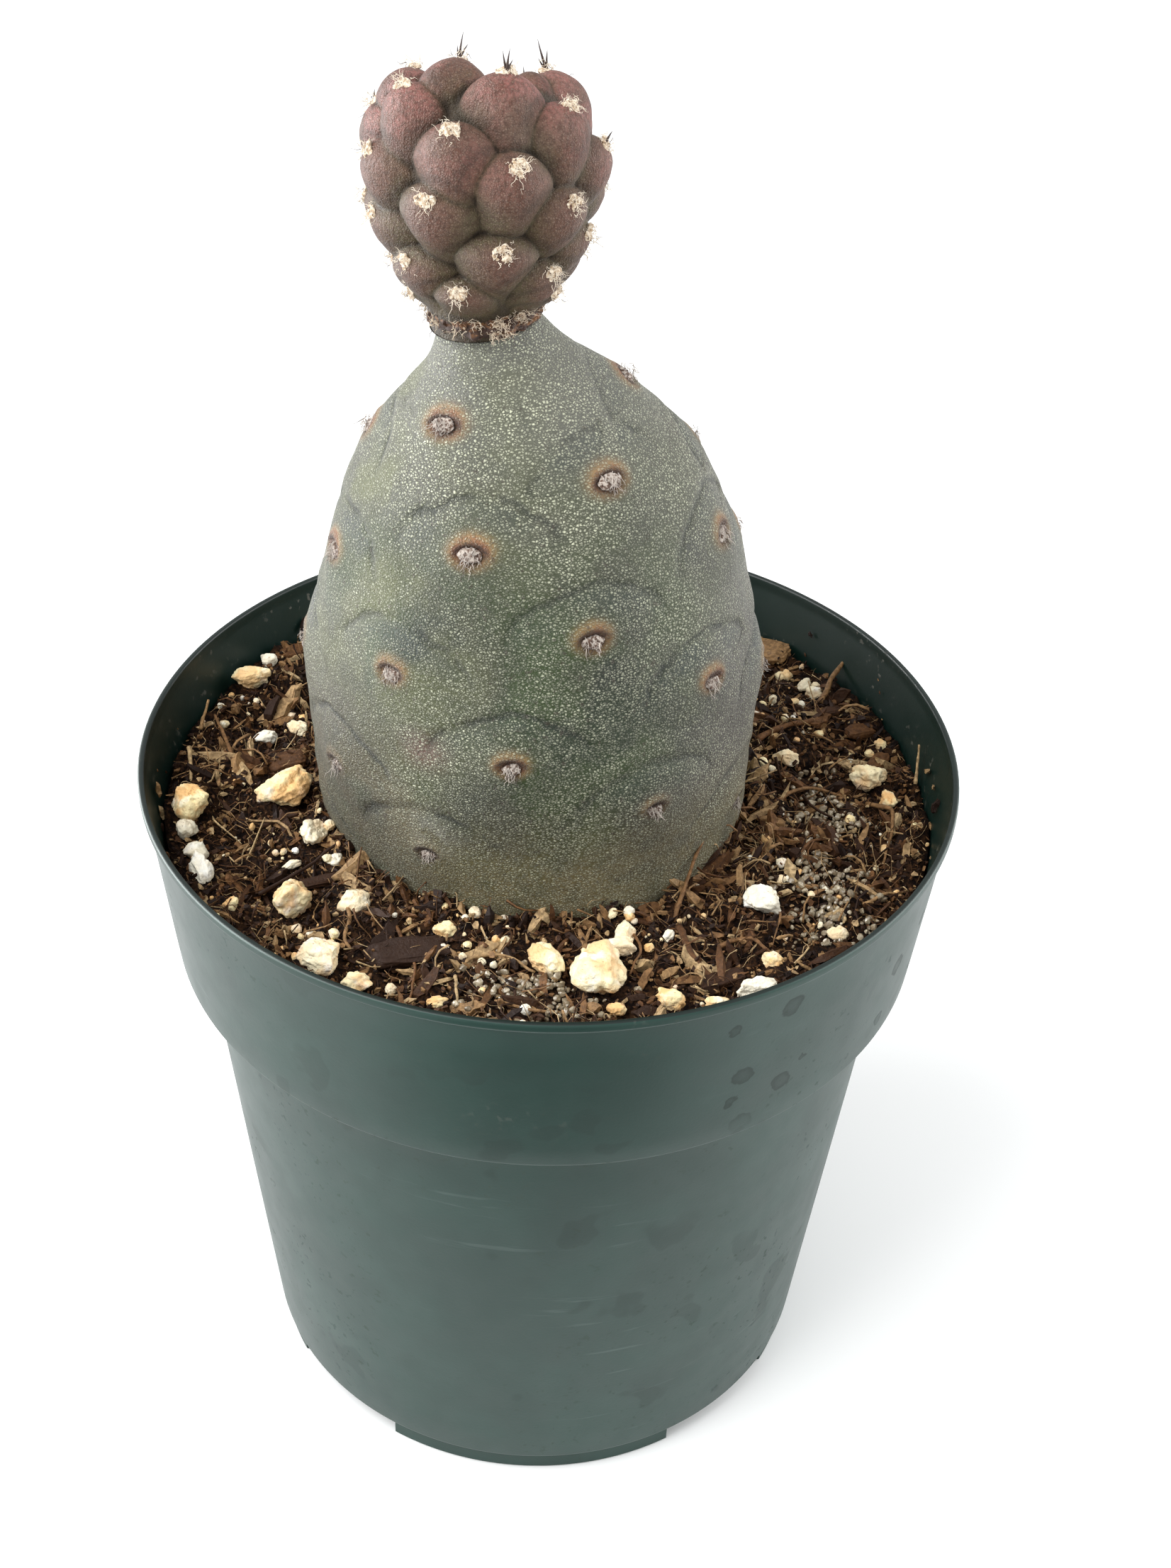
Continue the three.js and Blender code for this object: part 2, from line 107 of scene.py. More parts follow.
# Lower segment
LOWER_BASE = np.array([-1.3, 2.6, SOIL_TOP])
LOWER_LEAN = (-6.0, -1.2)
LOWER_BOW = 1.8
LOWER_LENGTH = 65.7
LOWER_OUTLINE = [
    (0, -15), (13, -14.2), (21.5, -10.5), (25.2, -5), (26.3, 0), (27.0, 10), (27.2, 20), (25.8, 29.5),
    (22.8, 39.5), (19.5, 47.3), (13.9, 54.6), (8.4, 60.6), (6.1, 64.4), (5.6, LOWER_LENGTH),
]
BURIED_ROWS = 4
LOWER_MOUND_REACH = 6.0
GOLDEN_TURN = -137.5
LOWER_FIRST_TURN = 1.3
LOWER_FIRST_HEIGHT = 57.1
LOWER_STEP = 1.76
LOWER_AREOLES = 32
# Areoles that sit off the spiral: number, then turn in degrees and drop in millimetres
LOWER_STRAYS = {
    0: (13, 1.2), 1: (13, -2.6), 4: (0, -2.2), 5: (-10, 3.5), 6: (0, -1.0), 8: (4, 3.0), 9: (-5, -0.7),
    14: (-2, -1.1), 16: (0, 1.6), 19: (-2, -0.9), 27: (-4, -1.4),
}
# Marks on the front of the skin: height, turn in degrees and reach
SKIN_MARKS = {"blush": (25.2, -116, 2.5), "chalk": (13.3, -115, 2.3)}

# Upper segment
UPPER_BASE = np.array([-8.95, 0.95, 152.3])
UPPER_LEAN = (0.6, 11.9)
UPPER_OUTLINE = [
    (5.5, -2.0), (5.6, 0), (6.6, 3.1), (8.6, 7.9), (10.5, 12.8), (11.2, 17.7), (10.1, 21.7), (8.1, 24.4),
    (3.2, 25.7), (2.6, 24.6), (0, 23.4),
]
CROWN_SLOPE = 0.25
CROWN_START = 10
CROWN_FULL = 24
CROWN_FRONT = -5
TUBERCLE_HALF_WIDTH = 4.9
TUBERCLE_UP = 3.3
TUBERCLE_DOWN = 6.2
TUBERCLE_BELOW = 1.5
TUBERCLE_LEAN = 0.3
TUBERCLE_COUNT = 40
UPPER_TURN = -66.1
UPPER_FIRST_TURN = 258.4
UPPER_FIRST_DROP = 7.2
UPPER_STEP = 0.647
BUD_COUNT = 7
# Tubercles that grew off the spiral: number, then turn in degrees and drop in millimetres
UPPER_STRAYS = {
    0: (-22, -1.0), 1: (0, 1.0), 4: (0, -2.2), 5: (-4, 0), 6: (0, 0.6), 9: (0, -3.2), 10: (2, -0.6),
    11: (5, 1.6), 12: (0, -2.2), 15: (0, -0.9), 16: (6, 0.6), 17: (-9, -0.8), 21: (9, 0.2), 22: (0, -0.4),
    26: (4, 0.6), 27: (9, 1.0), 28: (-10, -2.0), 32: (18, 0.8), 33: (-18, -0.6), 38: (-11, -0.9),
}
TUBERCLE_DROPS = (0, 4, 8, 14, 26, 30, 34)
TUBERCLE_SIZES = (0.62, 0.84, 0.98, 1.0, 1.0, 0.88, 0.74)
# Spines: tubercle number, length, and lean from the tubercle's own direction in degrees
SPINES = [
    (0, 2.85, 0), (0, 1.9, 22), (0, 1.5, -16), (5, 2.4, 6), (5, 2.2, -12), (5, 1.4, 24), (4, 3.4, -6),
    (4, 2.2, 12), (4, 1.6, -24), (12, 1.4, 10), (15, 1.6, 12), (7, 1.8, 5), (2, 2.2, 6), (3, 2.0, -8),
    (9, 1.2, 0),
]
SPINE_ROOT = 0.7
COLLAR_RADIUS = 6.1
COLLAR_HEIGHT = 2.2
COLLAR_HALF_WIDTH = 0.75

# Perlite that stands out: x, y, length, width, turn of its long side in degrees, and how stained it is
PERLITE = [
    (6.0, -34.0, 9.0, 6.4, 115, 0.45), (0.0, -31.0, 6.2, 4.0, 115, 0.5), (-33.5, -1.5, 7.4, 6.0, 20, 0.6),
    (-30.2, -22.0, 6.4, 4.9, 70, 0.5), (-26.0, -32.6, 6.6, 4.6, -20, 0.35), (-21.4, -35.6, 4.2, 3.4, 0, 0.5),
    (-44.4, -6.4, 5.0, 4.6, 20, 0.7), (-44.1, -11.0, 3.2, 2.8, 60, 0.1), (-41.3, -18.8, 5.2, 2.8, 110, 0.05),
    (-28.9, -9.4, 5.2, 3.0, 75, 0.25), (-25.9, -13.6, 2.6, 1.8, 50, 0.05), (-31.0, -14.6, 3.0, 1.2, 25, 0.2),
    (-42.4, -14.9, 3.6, 2.8, 30, 0.1), (-22.6, -22.6, 4.2, 3.2, 10, 0.3), (-40.5, 21.6, 5.6, 2.8, 20, 0.5),
    (-38.5, 25.6, 2.6, 2.2, 0, 0.05), (-37.4, 11.4, 3.0, 2.4, 10, 0.0), (-33.4, 12.9, 3.2, 2.2, -30, 0.3),
    (-31.0, 20.0, 3.6, 1.8, 90, 0.3), (-11.7, -26.3, 3.2, 2.5, -10, 0.8), (-11.9, -29.6, 2.0, 1.4, 0, 0.1),
    (9.4, -26.2, 3.6, 2.6, 80, 0.3), (8.6, -28.6, 4.2, 2.8, 10, 0.25), (14.6, -26.0, 2.1, 1.5, 70, 0.2),
    (26.0, -20.4, 5.2, 4.2, 20, 0.02), (26.6, -30.5, 2.9, 2.4, 0, 0.8), (24.5, -34.7, 5.2, 2.4, 15, 0.05),
    (14.4, -37.6, 4.3, 3.0, 0, 0.7), (20.0, -37.2, 3.8, 1.8, 15, 0.5), (8.3, -39.2, 2.2, 1.8, 0, 0.8),
    (-12.0, -38.6, 2.6, 1.8, 0, 0.6), (32.2, 29.4, 2.4, 2.0, 0, 0.5), (34.6, 27.4, 2.2, 2.0, 0, 0.2),
    (35.6, 25.0, 2.6, 2.2, 0, 0.3), (41.0, 5.6, 5.0, 4.2, -10, 0.45), (43.4, 0.6, 2.8, 2.6, 0, 0.8),
    (31.0, 9.2, 4.0, 2.4, 10, 0.35), (34.6, -25.2, 2.6, 2.2, 0, 0.3), (43.9, 14.0, 1.9, 1.6, 0, 0.6),
    (-37.0, -24.5, 2.0, 1.8, 0, 0.7), (4.0, 38.0, 6.0, 4.4, 30, 0.4), (-16.0, 38.5, 5.0, 3.6, 80, 0.3),
    (20.0, 34.0, 3.6, 2.8, 10, 0.1), (-28.0, 34.0, 3.4, 2.4, 40, 0.5),
]
# A lump looks smaller than its outline, so it is made larger than listed, along and across
LUMP_GROWTH = (1.26, 1.32)
LARGE_LUMP = 4.4
# Bark slabs that stand out: x, y, length, width, turn in degrees, tone from dark to tan
BARK_SLABS = [
    (-16.0, -30.2, 9.5, 4.2, 12, 0.12), (29.4, 34.6, 7.4, 5.0, -25, 0.75), (43.2, 10.4, 4.6, 2.2, 60, 0.5),
    (41.4, 16.6, 4.6, 2.6, 30, 0.45), (-34.0, 5.6, 5.2, 3.2, 20, 0.4), (20.5, -33.0, 5.4, 2.4, 20, 0.2),
    (-28.0, -17.6, 7.0, 1.6, 25, 0.2), (36.0, 20.0, 6.4, 1.8, 15, 0.3), (-39.0, 4.5, 4.0, 2.6, 110, 0.55),
    (-6.0, 37.0, 8.0, 3.6, 5, 0.3), (12.0, 41.0, 6.0, 2.6, -30, 0.6), (-36.0, 29.0, 5.0, 2.2, 50, 0.5),
]
LARGE_SLAB = 6
# Roots and twigs that stand out: a path of x, y and height over the mix, thickness, tone from dark to tan
STRANDS = [
    ([(-12.0, -34.4, 0.0), (-8.6, -31.4, 0.9), (-4.6, -30.6, 1.1), (-1.0, -32.4, 0.1)], 0.55, 0.85),
    ([(-10.2, -34.4, 0.6), (-9.9, -37.2, 1.0), (-9.7, -39.8, 0.4)], 0.45, 0.95),
    ([(-34.2, -21.0, 0.5), (-29.6, -16.4, 1.0), (-25.0, -10.4, 1.6)], 0.60, 0.12),
    ([(-35.6, -8.4, 1.2), (-31.0, -6.4, 1.6)], 0.85, 0.22),
    ([(-46.0, 3.6, 2.6), (-44.8, -2.6, 0.2)], 0.60, 0.92),
    ([(-24.6, -20.6, 0.4), (-22.9, -25.0, 0.9), (-23.4, -29.0, 0.7), (-21.4, -31.6, 0.2)], 0.62, 0.72),
    ([(15.2, -23.0, 0.0), (16.6, -18.8, 2.6), (18.6, -14.6, 6.0)], 0.62, 0.62),
    ([(20.4, -27.8, 0.2), (24.2, -27.0, 1.2), (28.0, -31.0, 0.1)], 0.60, 0.60),
    ([(15.8, -24.6, 0.5), (16.6, -29.4, 0.9), (19.6, -33.6, 0.2)], 0.95, 0.42),
    ([(27.0, 12.4, 1.0), (30.8, 14.9, 1.4), (35.0, 16.8, 1.2)], 1.05, 0.55),
    ([(36.4, 22.4, 0.6), (38.2, 26.2, 2.0), (40.2, 29.4, 3.4)], 0.95, 0.70),
    ([(40.6, 0.4, 0.3), (43.4, -1.8, 1.5), (43.2, -6.1, 1.3), (41.4, -11.0, 0.1)], 0.62, 0.66),
    ([(47.2, 4.2, 1.4), (47.4, 6.6, 5.8)], 0.50, 0.92),
    ([(38.0, -20.2, 0.6), (40.8, -18.6, 0.9), (43.6, -17.0, 0.4)], 0.55, 0.80),
    ([(-17.8, -25.6, 0.4), (-14.6, -33.0, 0.7), (-15.3, -38.2, 0.2)], 0.45, 0.55),
    ([(-45.6, 10.0, 0.6), (-45.0, 13.6, 3.0)], 0.55, 0.80),
    ([(-41.0, 5.4, 0.8), (-44.2, 13.0, 1.2)], 0.60, 0.62),
    ([(-5.4, -38.4, 0.5), (-0.5, -40.6, 0.8), (2.8, -39.8, 0.3)], 0.50, 0.70),
    ([(8.8, -23.4, 0.4), (11.4, -28.8, 0.9), (9.8, -33.6, 0.2)], 0.45, 0.58),
    ([(30.0, -12.0, 0.5), (33.0, -8.0, 1.2), (38.0, -7.0, 0.3)], 0.50, 0.50),
    ([(28.0, 0.0, 0.4), (33.0, 3.4, 1.4), (38.0, 2.0, 0.4)], 0.55, 0.65),
]
# Where the sand shows, as middle x, middle y, and reach each way
SAND_PATCHES = [(-1.0, -37.5, 9.5, 4.5), (34.0, -19.0, 6.0, 9.0), (35.0, -3.0, 5.0, 9.0)]

# Templates of the strewn pieces, of unit length: width and thickness, or a fibre's thickness and bend
CHIPS = ((0.16, 0.10), (0.20, 0.14), (0.12, 0.08), (0.24, 0.18), (0.18, 0.16), (0.32, 0.26), (0.14, 0.12))
PEAT = ((0.6, 0.5), (0.8, 0.5), (0.5, 0.5), (0.7, 0.5))
FIBRES = ((0.026, 0.20), (0.038, 0.12), (0.020, 0.26), (0.032, 0.16), (0.046, 0.12), (0.024, 0.22))
WALL_BITS = ((0.4, 0.3), (0.6, 0.3), (0.3, 0.3), (0.5, 0.3))
CRUSTS = ((0.7, 0.5), (0.5, 0.3), (0.9, 0.6), (0.4, 0.3))
# Sections of a splinter: place along it and share of its width
LONG_SPLINTER = ((-0.5, 0.35), (-0.28, 0.9), (0.05, 1.0), (0.3, 0.8), (0.5, 0.3))
SHORT_SPLINTER = ((-0.5, 0.5), (0.0, 1.0), (0.5, 0.4))
# Strewn pieces: smallest and largest size, rareness of large ones, tilt, sink, lightness and seed
STREWN = {
    "bark_chips": (0.8, 6.0, 2.4, 1.1, -0.04, 1.3, 3),
    "peat_crumbs": (0.25, 1.0, 1.8, 1.0, -0.5, 1.5, 8),
    "root_fibres": (1.4, 8.0, 2.2, 0.9, -0.08, 0.72, 4),
    "perlite_crumbs": (0.25, 1.25, 2.2, 1.0, -0.4, 1.0, 5),
    "sand_grains": (0.26, 0.66, 1.6, 1.0, -1.0, 1.0, 6),
    "wall_crumbs": (0.4, 2.2, 2.2, 0.3, -0.1, 0.7, 7),
    "ring_crumbs": (0.3, 1.3, 1.8, 1.2, 0.1, 1.0, 12),
}
# Wool: length, thickness, rooting, curl and fluff in millimetres, the pad's three half sizes, then lift,
# spread, droop, fineness and seed
WOOL = {
    "areole_wool": (1.3, 0.10, 0.72, 0.7, 0.6, (1.05, 0.62, 0.26), 0.3, 0.45, 0.8, 4, 31),
    "tuft_wool": (1.25, 0.085, 0.95, 1.25, 0.75, (1.12, 0.88, 0.34), 0.35, 0.9, 0.25, 4, 41),
    "tuft_strands": (2.9, 0.085, 0.6, 1.7, 0.05, (0.2, 0.2, 0.1), 0.45, 0.6, 1.2, 1, 43),
    "ring_wool": (1.7, 0.085, 1.0, 1.4, 0.7, (0.80, 0.26, 0.22), 0.35, 1.0, 0.2, 3, 47),
}

# Camera: found from the pot's rim, band and base
CAMERA_DISTANCE = 214.82
CAMERA_HEIGHT = 252.16
CAMERA_YAW = 0.0211
CAMERA_PITCH = 0.6475
CAMERA_ROLL = 0.0416
FOCAL_PIXELS = 3000
IMAGE_HEIGHT = 2212
SENSOR = 36.0


# Settings that a user would change

def length(name, description, default, low, high):
    """A setting for a length, given in millimetres."""
    return FloatProperty(name=name, description=description, subtype="DISTANCE", unit="LENGTH",
                         default=default * MM, min=low * MM, max=high * MM)


def amount(name, description, default, high):
    """A setting for how many there are of something on each square centimetre."""
    return FloatProperty(name=name, description=description, default=default, min=0, max=high)


def whole(name, description, default, low, high):
    """A setting for a whole number."""
    return IntProperty(name=name, description=description, default=default, min=low, max=high)


def tint(name, description, default):
    """A setting for a colour."""
    return FloatVectorProperty(name=name, description=description, subtype="COLOR", default=default,
                               min=0, max=1)


def power(name, description, default):
    """A setting for the power of a light."""
    return FloatProperty(name=name, description=description, unit="POWER", default=default, min=0)


class PotSettings(bpy.types.PropertyGroup):
    """Sizes and colours of the pot"""
    colour: tint("Plastic colour", "Colour of the moulded plastic", (0.0075, 0.0305, 0.0235))
    rounding: length("Edge rounding", "Radius of the moulded edges", 0.5, 0.1, 1.0)
    sides: whole("Sides", "Faces around the pot", 192, 48, 360)


class MixSettings(bpy.types.PropertyGroup):
    """Sizes and amounts of the potting mix"""
    roughness: length("Unevenness", "Height of the small bumps of the bed", 1.2, 0, 3)
    chips: amount("Bark chips", "Chips for each square centimetre", 50, 120)
    peat: amount("Peat crumbs", "Crumbs of peat for each square centimetre", 100, 200)
    fibres: amount("Root fibres", "Fibres for each square centimetre", 70, 100)
    crumbs: amount("Perlite crumbs", "Crumbs for each square centimetre", 18, 40)
    grains: amount("Sand grains", "Grains for each square centimetre of a patch", 240, 600)
    wall_bits: amount("Bits on the wall", "Bits for each square centimetre of the wall above the mix", 5, 20)
    seed: IntProperty(name="Seed", description="Start of the random draws", default=11)


class LowerSettings(bpy.types.PropertyGroup):
    """Sizes and colours of the lower segment"""
    mound: length("Mound height", "Swelling under each areole", 1.1, 0, 3)
    crease: length("Crease depth", "Depth of the arc above each areole", 0.30, 0, 1)
    papilla: length("Papilla spacing", "Distance between the pale dots of the skin", 0.36, 0.1, 2)
    green: tint("Green", "Skin colour of the front", (0.028, 0.047, 0.012))
    grey: tint("Grey", "Skin colour of the dull parts", (0.026, 0.029, 0.018))
    wool_fibres: whole("Wool fibres", "Fibres of each areole", 64, 0, 90)


class UpperSettings(bpy.types.PropertyGroup):
    """Sizes and colours of the upper segment"""
    tubercle: length("Tubercle height", "How far a tubercle stands out", 2.5, 0.5, 5)
    blush: tint("Blush", "Skin colour on top of the tubercles", (0.120, 0.057, 0.040))
    olive: tint("Olive", "Skin colour of the flanks and valleys", (0.074, 0.057, 0.026))
    wool_fibres: whole("Wool fibres", "Fibres of each tuft", 56, 0, 120)
    spine_radius: length("Spine radius", "Radius of a spine at its root", 0.22, 0.05, 0.26)


class StageSettings(bpy.types.PropertyGroup):
    """Light and floor"""
    floor: tint("Floor colour", "Colour of the plain floor", (0.93, 0.94, 0.94))
    sky: FloatProperty(name="Sky", description="Strength of the even white light", default=0.80, min=0)
    key: power("Key light", "Power of the large light at the upper left", 11.0)
    fill: power("Fill light", "Power of the light at the right", 5.0)
    glow: power("Side panels", "Power of the panels that gloss mirrors at the sides", 5.4)


# Nodes

class Value:
    """A number, vector or geometry in a node tree. Arithmetic on it adds the nodes that work it out."""

    def __init__(self, socket):
        self.socket = socket
        self.tree = socket.id_data
        self.is_vector = socket.type in {"VECTOR", "RGBA"}

    def worked_out(self, operation, *others):
        """The result of a Math node, or of a Vector Math node for a vector."""
        kind = "ShaderNodeVectorMath" if self.is_vector else "ShaderNodeMath"
        return value(self.tree, kind, dict(enumerate((self, *others))), operation=operation)

    def __add__(self, other):
        return self.worked_out("ADD", other)

    def __sub__(self, other):
        return self.worked_out("SUBTRACT", other)

    def __mul__(self, other):
        if self.is_vector and not getattr(other, "is_vector", False):
            return value(self.tree, "ShaderNodeVectorMath", {0: self, "Scale": other}, operation="SCALE")
        return self.worked_out("MULTIPLY", other)

    def __truediv__(self, other):
        return self.worked_out("DIVIDE", other)

    def __pow__(self, other):
        return self.worked_out("POWER", other)

    def __abs__(self):
        return self.worked_out("ABSOLUTE")

    def __rsub__(self, number):
        return value(self.tree, "ShaderNodeMath", {0: number, 1: self}, operation="SUBTRACT")

    def __rtruediv__(self, number):
        return value(self.tree, "ShaderNodeMath", {0: number, 1: self}, operation="DIVIDE")

    def at_least(self, other):
        return self.worked_out("MAXIMUM", other)

    def at_most(self, other):
        return self.worked_out("MINIMUM", other)

    def ranged(self, low, high, start=0.0, end=1.0):
        """The smooth way from low to high, as start to end."""
        return value(self.tree, "ShaderNodeMapRange", {0: self, 1: low, 2: high, 3: start, 4: end},
                     interpolation_type="SMOOTHSTEP")


def connect(given, socket):
    """Links a Value to a socket, or sets the socket to a plain value."""
    if isinstance(given, Value):
        given.tree.links.new(given.socket, socket)
    else:
        socket.default_value = given


def node(tree, kind, inputs=None, **settings):
    """Adds a node with its settings, and with its inputs as plain values or Values."""
    made = tree.nodes.new(kind)
    for name, setting in settings.items():
        setattr(made, name, setting)
    for key, given in (inputs or {}).items():
        connect(given, made.inputs[key])
    return made


def value(tree, kind, inputs=None, output=0, **settings):
    """Adds a node and gives one of its outputs."""
    return Value(node(tree, kind, inputs, **settings).outputs[output])


def node_group(name, kind, inputs, outputs):
    """A node group with named sockets, given as name, type and, for some inputs, a default."""
    tree = bpy.data.node_groups.new(name, kind)
    for label, socket_kind, *default in inputs:
        socket = tree.interface.new_socket(label, in_out="INPUT", socket_type="NodeSocket" + socket_kind)
        if default:
            socket.default_value = default[0]
    for label, socket_kind in outputs:
        tree.interface.new_socket(label, in_out="OUTPUT", socket_type="NodeSocket" + socket_kind)
    given = {socket.name: Value(socket) for socket in node(tree, "NodeGroupInput").outputs}
    return tree, given, node(tree, "NodeGroupOutput").inputs


def ripples(vector, scale, detail, output=0, **inputs):
    """Plain noise: a number around one half, or as output 1 a vector of such numbers."""
    return value(vector.tree, "ShaderNodeTexNoise",
                 {"Vector": vector, "Scale": scale, "Detail": detail, **inputs}, output)


def cells(vector, randomness):
    """The distance to the nearest of strewn points, and a random number for each point."""
    made = node(vector.tree, "ShaderNodeTexVoronoi", {
        "Vector": vector, "Scale": 1.0, "Randomness": randomness})
    tone = value(vector.tree, "ShaderNodeSeparateColor", {0: Value(made.outputs["Color"])})
    return Value(made.outputs["Distance"]), tone


def colour(parts):
    """Three numbers as a colour that a socket takes."""
    return (*parts[:3], 1.0)


# Shader groups

def mottle_group():
    """Soft blotches: the share of a second tone at each place."""
    tree, given, result = node_group("Soft Mottle", "ShaderNodeTree", [
        ("Vector", "Vector"), ("Scale", "Float", 100.0), ("Detail", "Float", 3.0), ("Low", "Float", 0.4),
        ("High", "Float", 0.6)], [("Mask", "Float")])
    blotches = ripples(given["Vector"], given["Scale"], given["Detail"], Roughness=0.55)
    connect(blotches.ranged(given["Low"], given["High"]), result["Mask"])
    return tree


def papilla_group():
    """Fine pale dots that cover a skin, with their height."""
    tree, given, result = node_group("Papillae", "ShaderNodeTree", [
        ("Vector", "Vector"), ("Spacing", "Float", 0.0005), ("Flatness", "Float", 1.4),
        ("Reach", "Float", 0.5)], [("Mask", "Float"), ("Height", "Float")])
    spread = value(tree, "ShaderNodeCombineXYZ", {0: 1.0, 1: 1.0, 2: given["Flatness"]})
    placed = given["Vector"] * (1.0 / given["Spacing"]) * spread
    shifted = placed + ripples(placed, 0.8, 2.0, output=1) * 1.3
    edges = value(tree, "ShaderNodeTexVoronoi", {"Vector": shifted, "Scale": 1.0, "Randomness": 0.95},
                  "Distance", feature="DISTANCE_TO_EDGE")
    away, tone = cells(shifted, 0.95)
    ragged = ripples(placed, 2.4, 2.0, Roughness=0.6)
    near = ragged * 0.35 + edges
    dots = (near - 0.175).ranged(0.0, given["Reach"]) * away.ranged(0.85, 0.20)
    connect(dots * tone.ranged(0.0, 1.0, 0.45, 1.0), result["Mask"])
    connect(ragged * 0.8 + dots, result["Height"])
    return tree


def drops_group():
    """Round marks of dried drops, uneven in size, with a darker edge."""
    tree, given, result = node_group("Dried Drops", "ShaderNodeTree", [
        ("Vector", "Vector"), ("Spacing", "Float", 0.005), ("Size", "Float", 0.3)], [("Mask", "Float")])
    placed = given["Vector"] * (1.0 / given["Spacing"])
    away, tone = cells(placed + ripples(placed, 3.0, 2.0, output=1) * 0.35, 1.0)
    share = away / (given["Size"] * tone)
    connect(share.ranged(1.0, 0.86) * share.ranged(0.9, 0.3, 1.0, 0.55), result["Mask"])
    return tree


def relief_group():
    """The normal of a fine grain."""
    tree, given, result = node_group("Fine Relief", "ShaderNodeTree", [
        ("Vector", "Vector"), ("Scale", "Float", 1000.0), ("Detail", "Float", 4.0),
        ("Strength", "Float", 0.5), ("Depth", "Float", 0.0001)], [("Normal", "Vector")])
    grain = ripples(given["Vector"], given["Scale"], given["Detail"], Roughness=0.6)
    connect(value(tree, "ShaderNodeBump", {
        "Strength": given["Strength"], "Distance": given["Depth"], "Height": grain}), result["Normal"])
    return tree


SHADER_GROUPS = {"Soft Mottle": mottle_group, "Papillae": papilla_group, "Dried Drops": drops_group,
                 "Fine Relief": relief_group}


class Finish:
    """A material under construction: its colour so far, the object's coordinates and the shared groups."""
    groups = {}

    def __init__(self, name):
        self.material = bpy.data.materials.new(name)
        self.material.use_nodes = True
        self.tree = self.material.node_tree
        self.shader = self.tree.nodes["Principled BSDF"]
        self.place = value(self.tree, "ShaderNodeTexCoord", output="Object")
        self.tint = None

    def group(self, label, **inputs):
        """Places a shared group and gives its outputs."""
        if label not in Finish.groups:
            Finish.groups[label] = SHADER_GROUPS[label]()
        made = node(self.tree, "ShaderNodeGroup", {"Vector": self.place, **inputs},
                    node_tree=Finish.groups[label])
        return {socket.name: Value(socket) for socket in made.outputs}

    def mottle(self, scale, low, high, detail=3.0, **inputs):
        """The share of a second tone in soft blotches."""
        return self.group("Soft Mottle", Scale=scale, Low=low, High=high, Detail=detail, **inputs)["Mask"]

    def streaks(self, scales, low, high, detail):
        """The share of a second tone in streaks, finer along one axis than along another."""
        drawn = value(self.tree, "ShaderNodeMapping", {0: self.place, "Scale": scales})
        return self.mottle(1.0, low, high, detail, Vector=drawn)

    def relief(self, scale, strength, depth, detail=4.0):
        """The normal of a fine grain."""
        return self.group("Fine Relief", Scale=scale, Detail=detail, Strength=strength, Depth=depth)["Normal"]

    def bump(self, height, strength, depth):
        """The normal of a height."""
        return value(self.tree, "ShaderNodeBump", {"Strength": strength, "Distance": depth, "Height": height})

    def axes(self):
        """The place across and upright."""
        apart = node(self.tree, "ShaderNodeSeparateXYZ", {0: self.place})
        return Value(apart.outputs[0]), Value(apart.outputs[2])

    def mark(self, name):
        """A number that the mesh holds at each point."""
        return value(self.tree, "ShaderNodeAttribute", output="Fac", attribute_name=name)

    def mix(self, factor, first, second):
        """Two colours mixed."""
        first, second = (side if isinstance(side, Value) else colour(side) for side in (first, second))
        return value(self.tree, "ShaderNodeMix", {0: factor, 6: first, 7: second}, 2, data_type="RGBA")

    def base(self, factor, first, second):
        """Starts the colour as a mix."""
        self.tint = self.mix(factor, first, second)

    def coat(self, share, over):
        """Lays another colour over the colour so far."""
        self.tint = self.mix(share, self.tint, over)

    def finish(self, **sockets):
        """Sets or links the shader's own sockets and gives the material."""
        for key, given in {"Base_Color": self.tint, **sockets}.items():
            connect(given, self.shader.inputs[key.replace("_", " ")])
        return self.material


# Materials

def pot_finish(settings):
    """Satin moulded plastic with scuffs, dried water marks, dust and painted shade on the inside, and a lip
    top painted dark.
    """
    made = Finish("moulded_green_plastic")
    paler, inner, lip = ([share * part for part in settings.colour] for share in (1.25, 0.6, 0.3))
    inside = made.mark("inside")
    outside = 1.0 - inside
    made.base(made.mottle(70, 0.35, 0.7), settings.colour, paler)
    # Painted shade: the inside of the wall is darkened
    made.coat(inside, inner)
    # Painted shade: the top of the lip is darkened where it catches no highlight
    made.coat(made.mark("lip_top"), lip)
    across, upright = made.axes()
    wetted = across.ranged(0.012, 0.020) * upright.ranged(0.070, 0.077)
    splashes = made.group("Dried Drops", Spacing=0.0048, Size=0.36)["Mask"] * wetted
    stains = made.mottle(110, 0.61, 0.65, 2.0) * made.mottle(28, 0.46, 0.58)
    marks = (stains * 0.26).at_least(splashes * 0.75) * outside
    made.coat(marks, (0.003, 0.014, 0.010))
    dust = made.mottle(900, 0.62, 0.70, 2.0) * made.mottle(60, 0.45, 0.65)
    made.coat(dust * (inside * 0.5 + 0.10), (0.20, 0.19, 0.16))
    scuffs = made.streaks((60, 60, 900), 0.62, 0.70, 3.0) * made.mottle(35, 0.5, 0.62) * outside
    made.coat(scuffs * 0.25, (0.10, 0.14, 0.13))
    rough = made.mottle(200, 0.3, 0.7) * 0.05 + 0.40 + marks * 0.22 + dust * 0.3
    return made.finish(Roughness=rough, Normal=made.relief(2200.0, 0.12, 0.00009, 2.0),
                       Specular_IOR_Level=0.34, Coat_Weight=0.06, Coat_Roughness=0.28)


def bed_finish():
    """Damp dark peat between the pieces."""
    made = Finish("dark_peat")
    made.base(made.mottle(1500, 0.4, 0.65, 5.0), (0.004, 0.0015, 0.001), (0.038, 0.017, 0.007))
    return made.finish(Roughness=0.85, Normal=made.relief(2600.0, 0.9, 0.0004), Specular_IOR_Level=0.1)


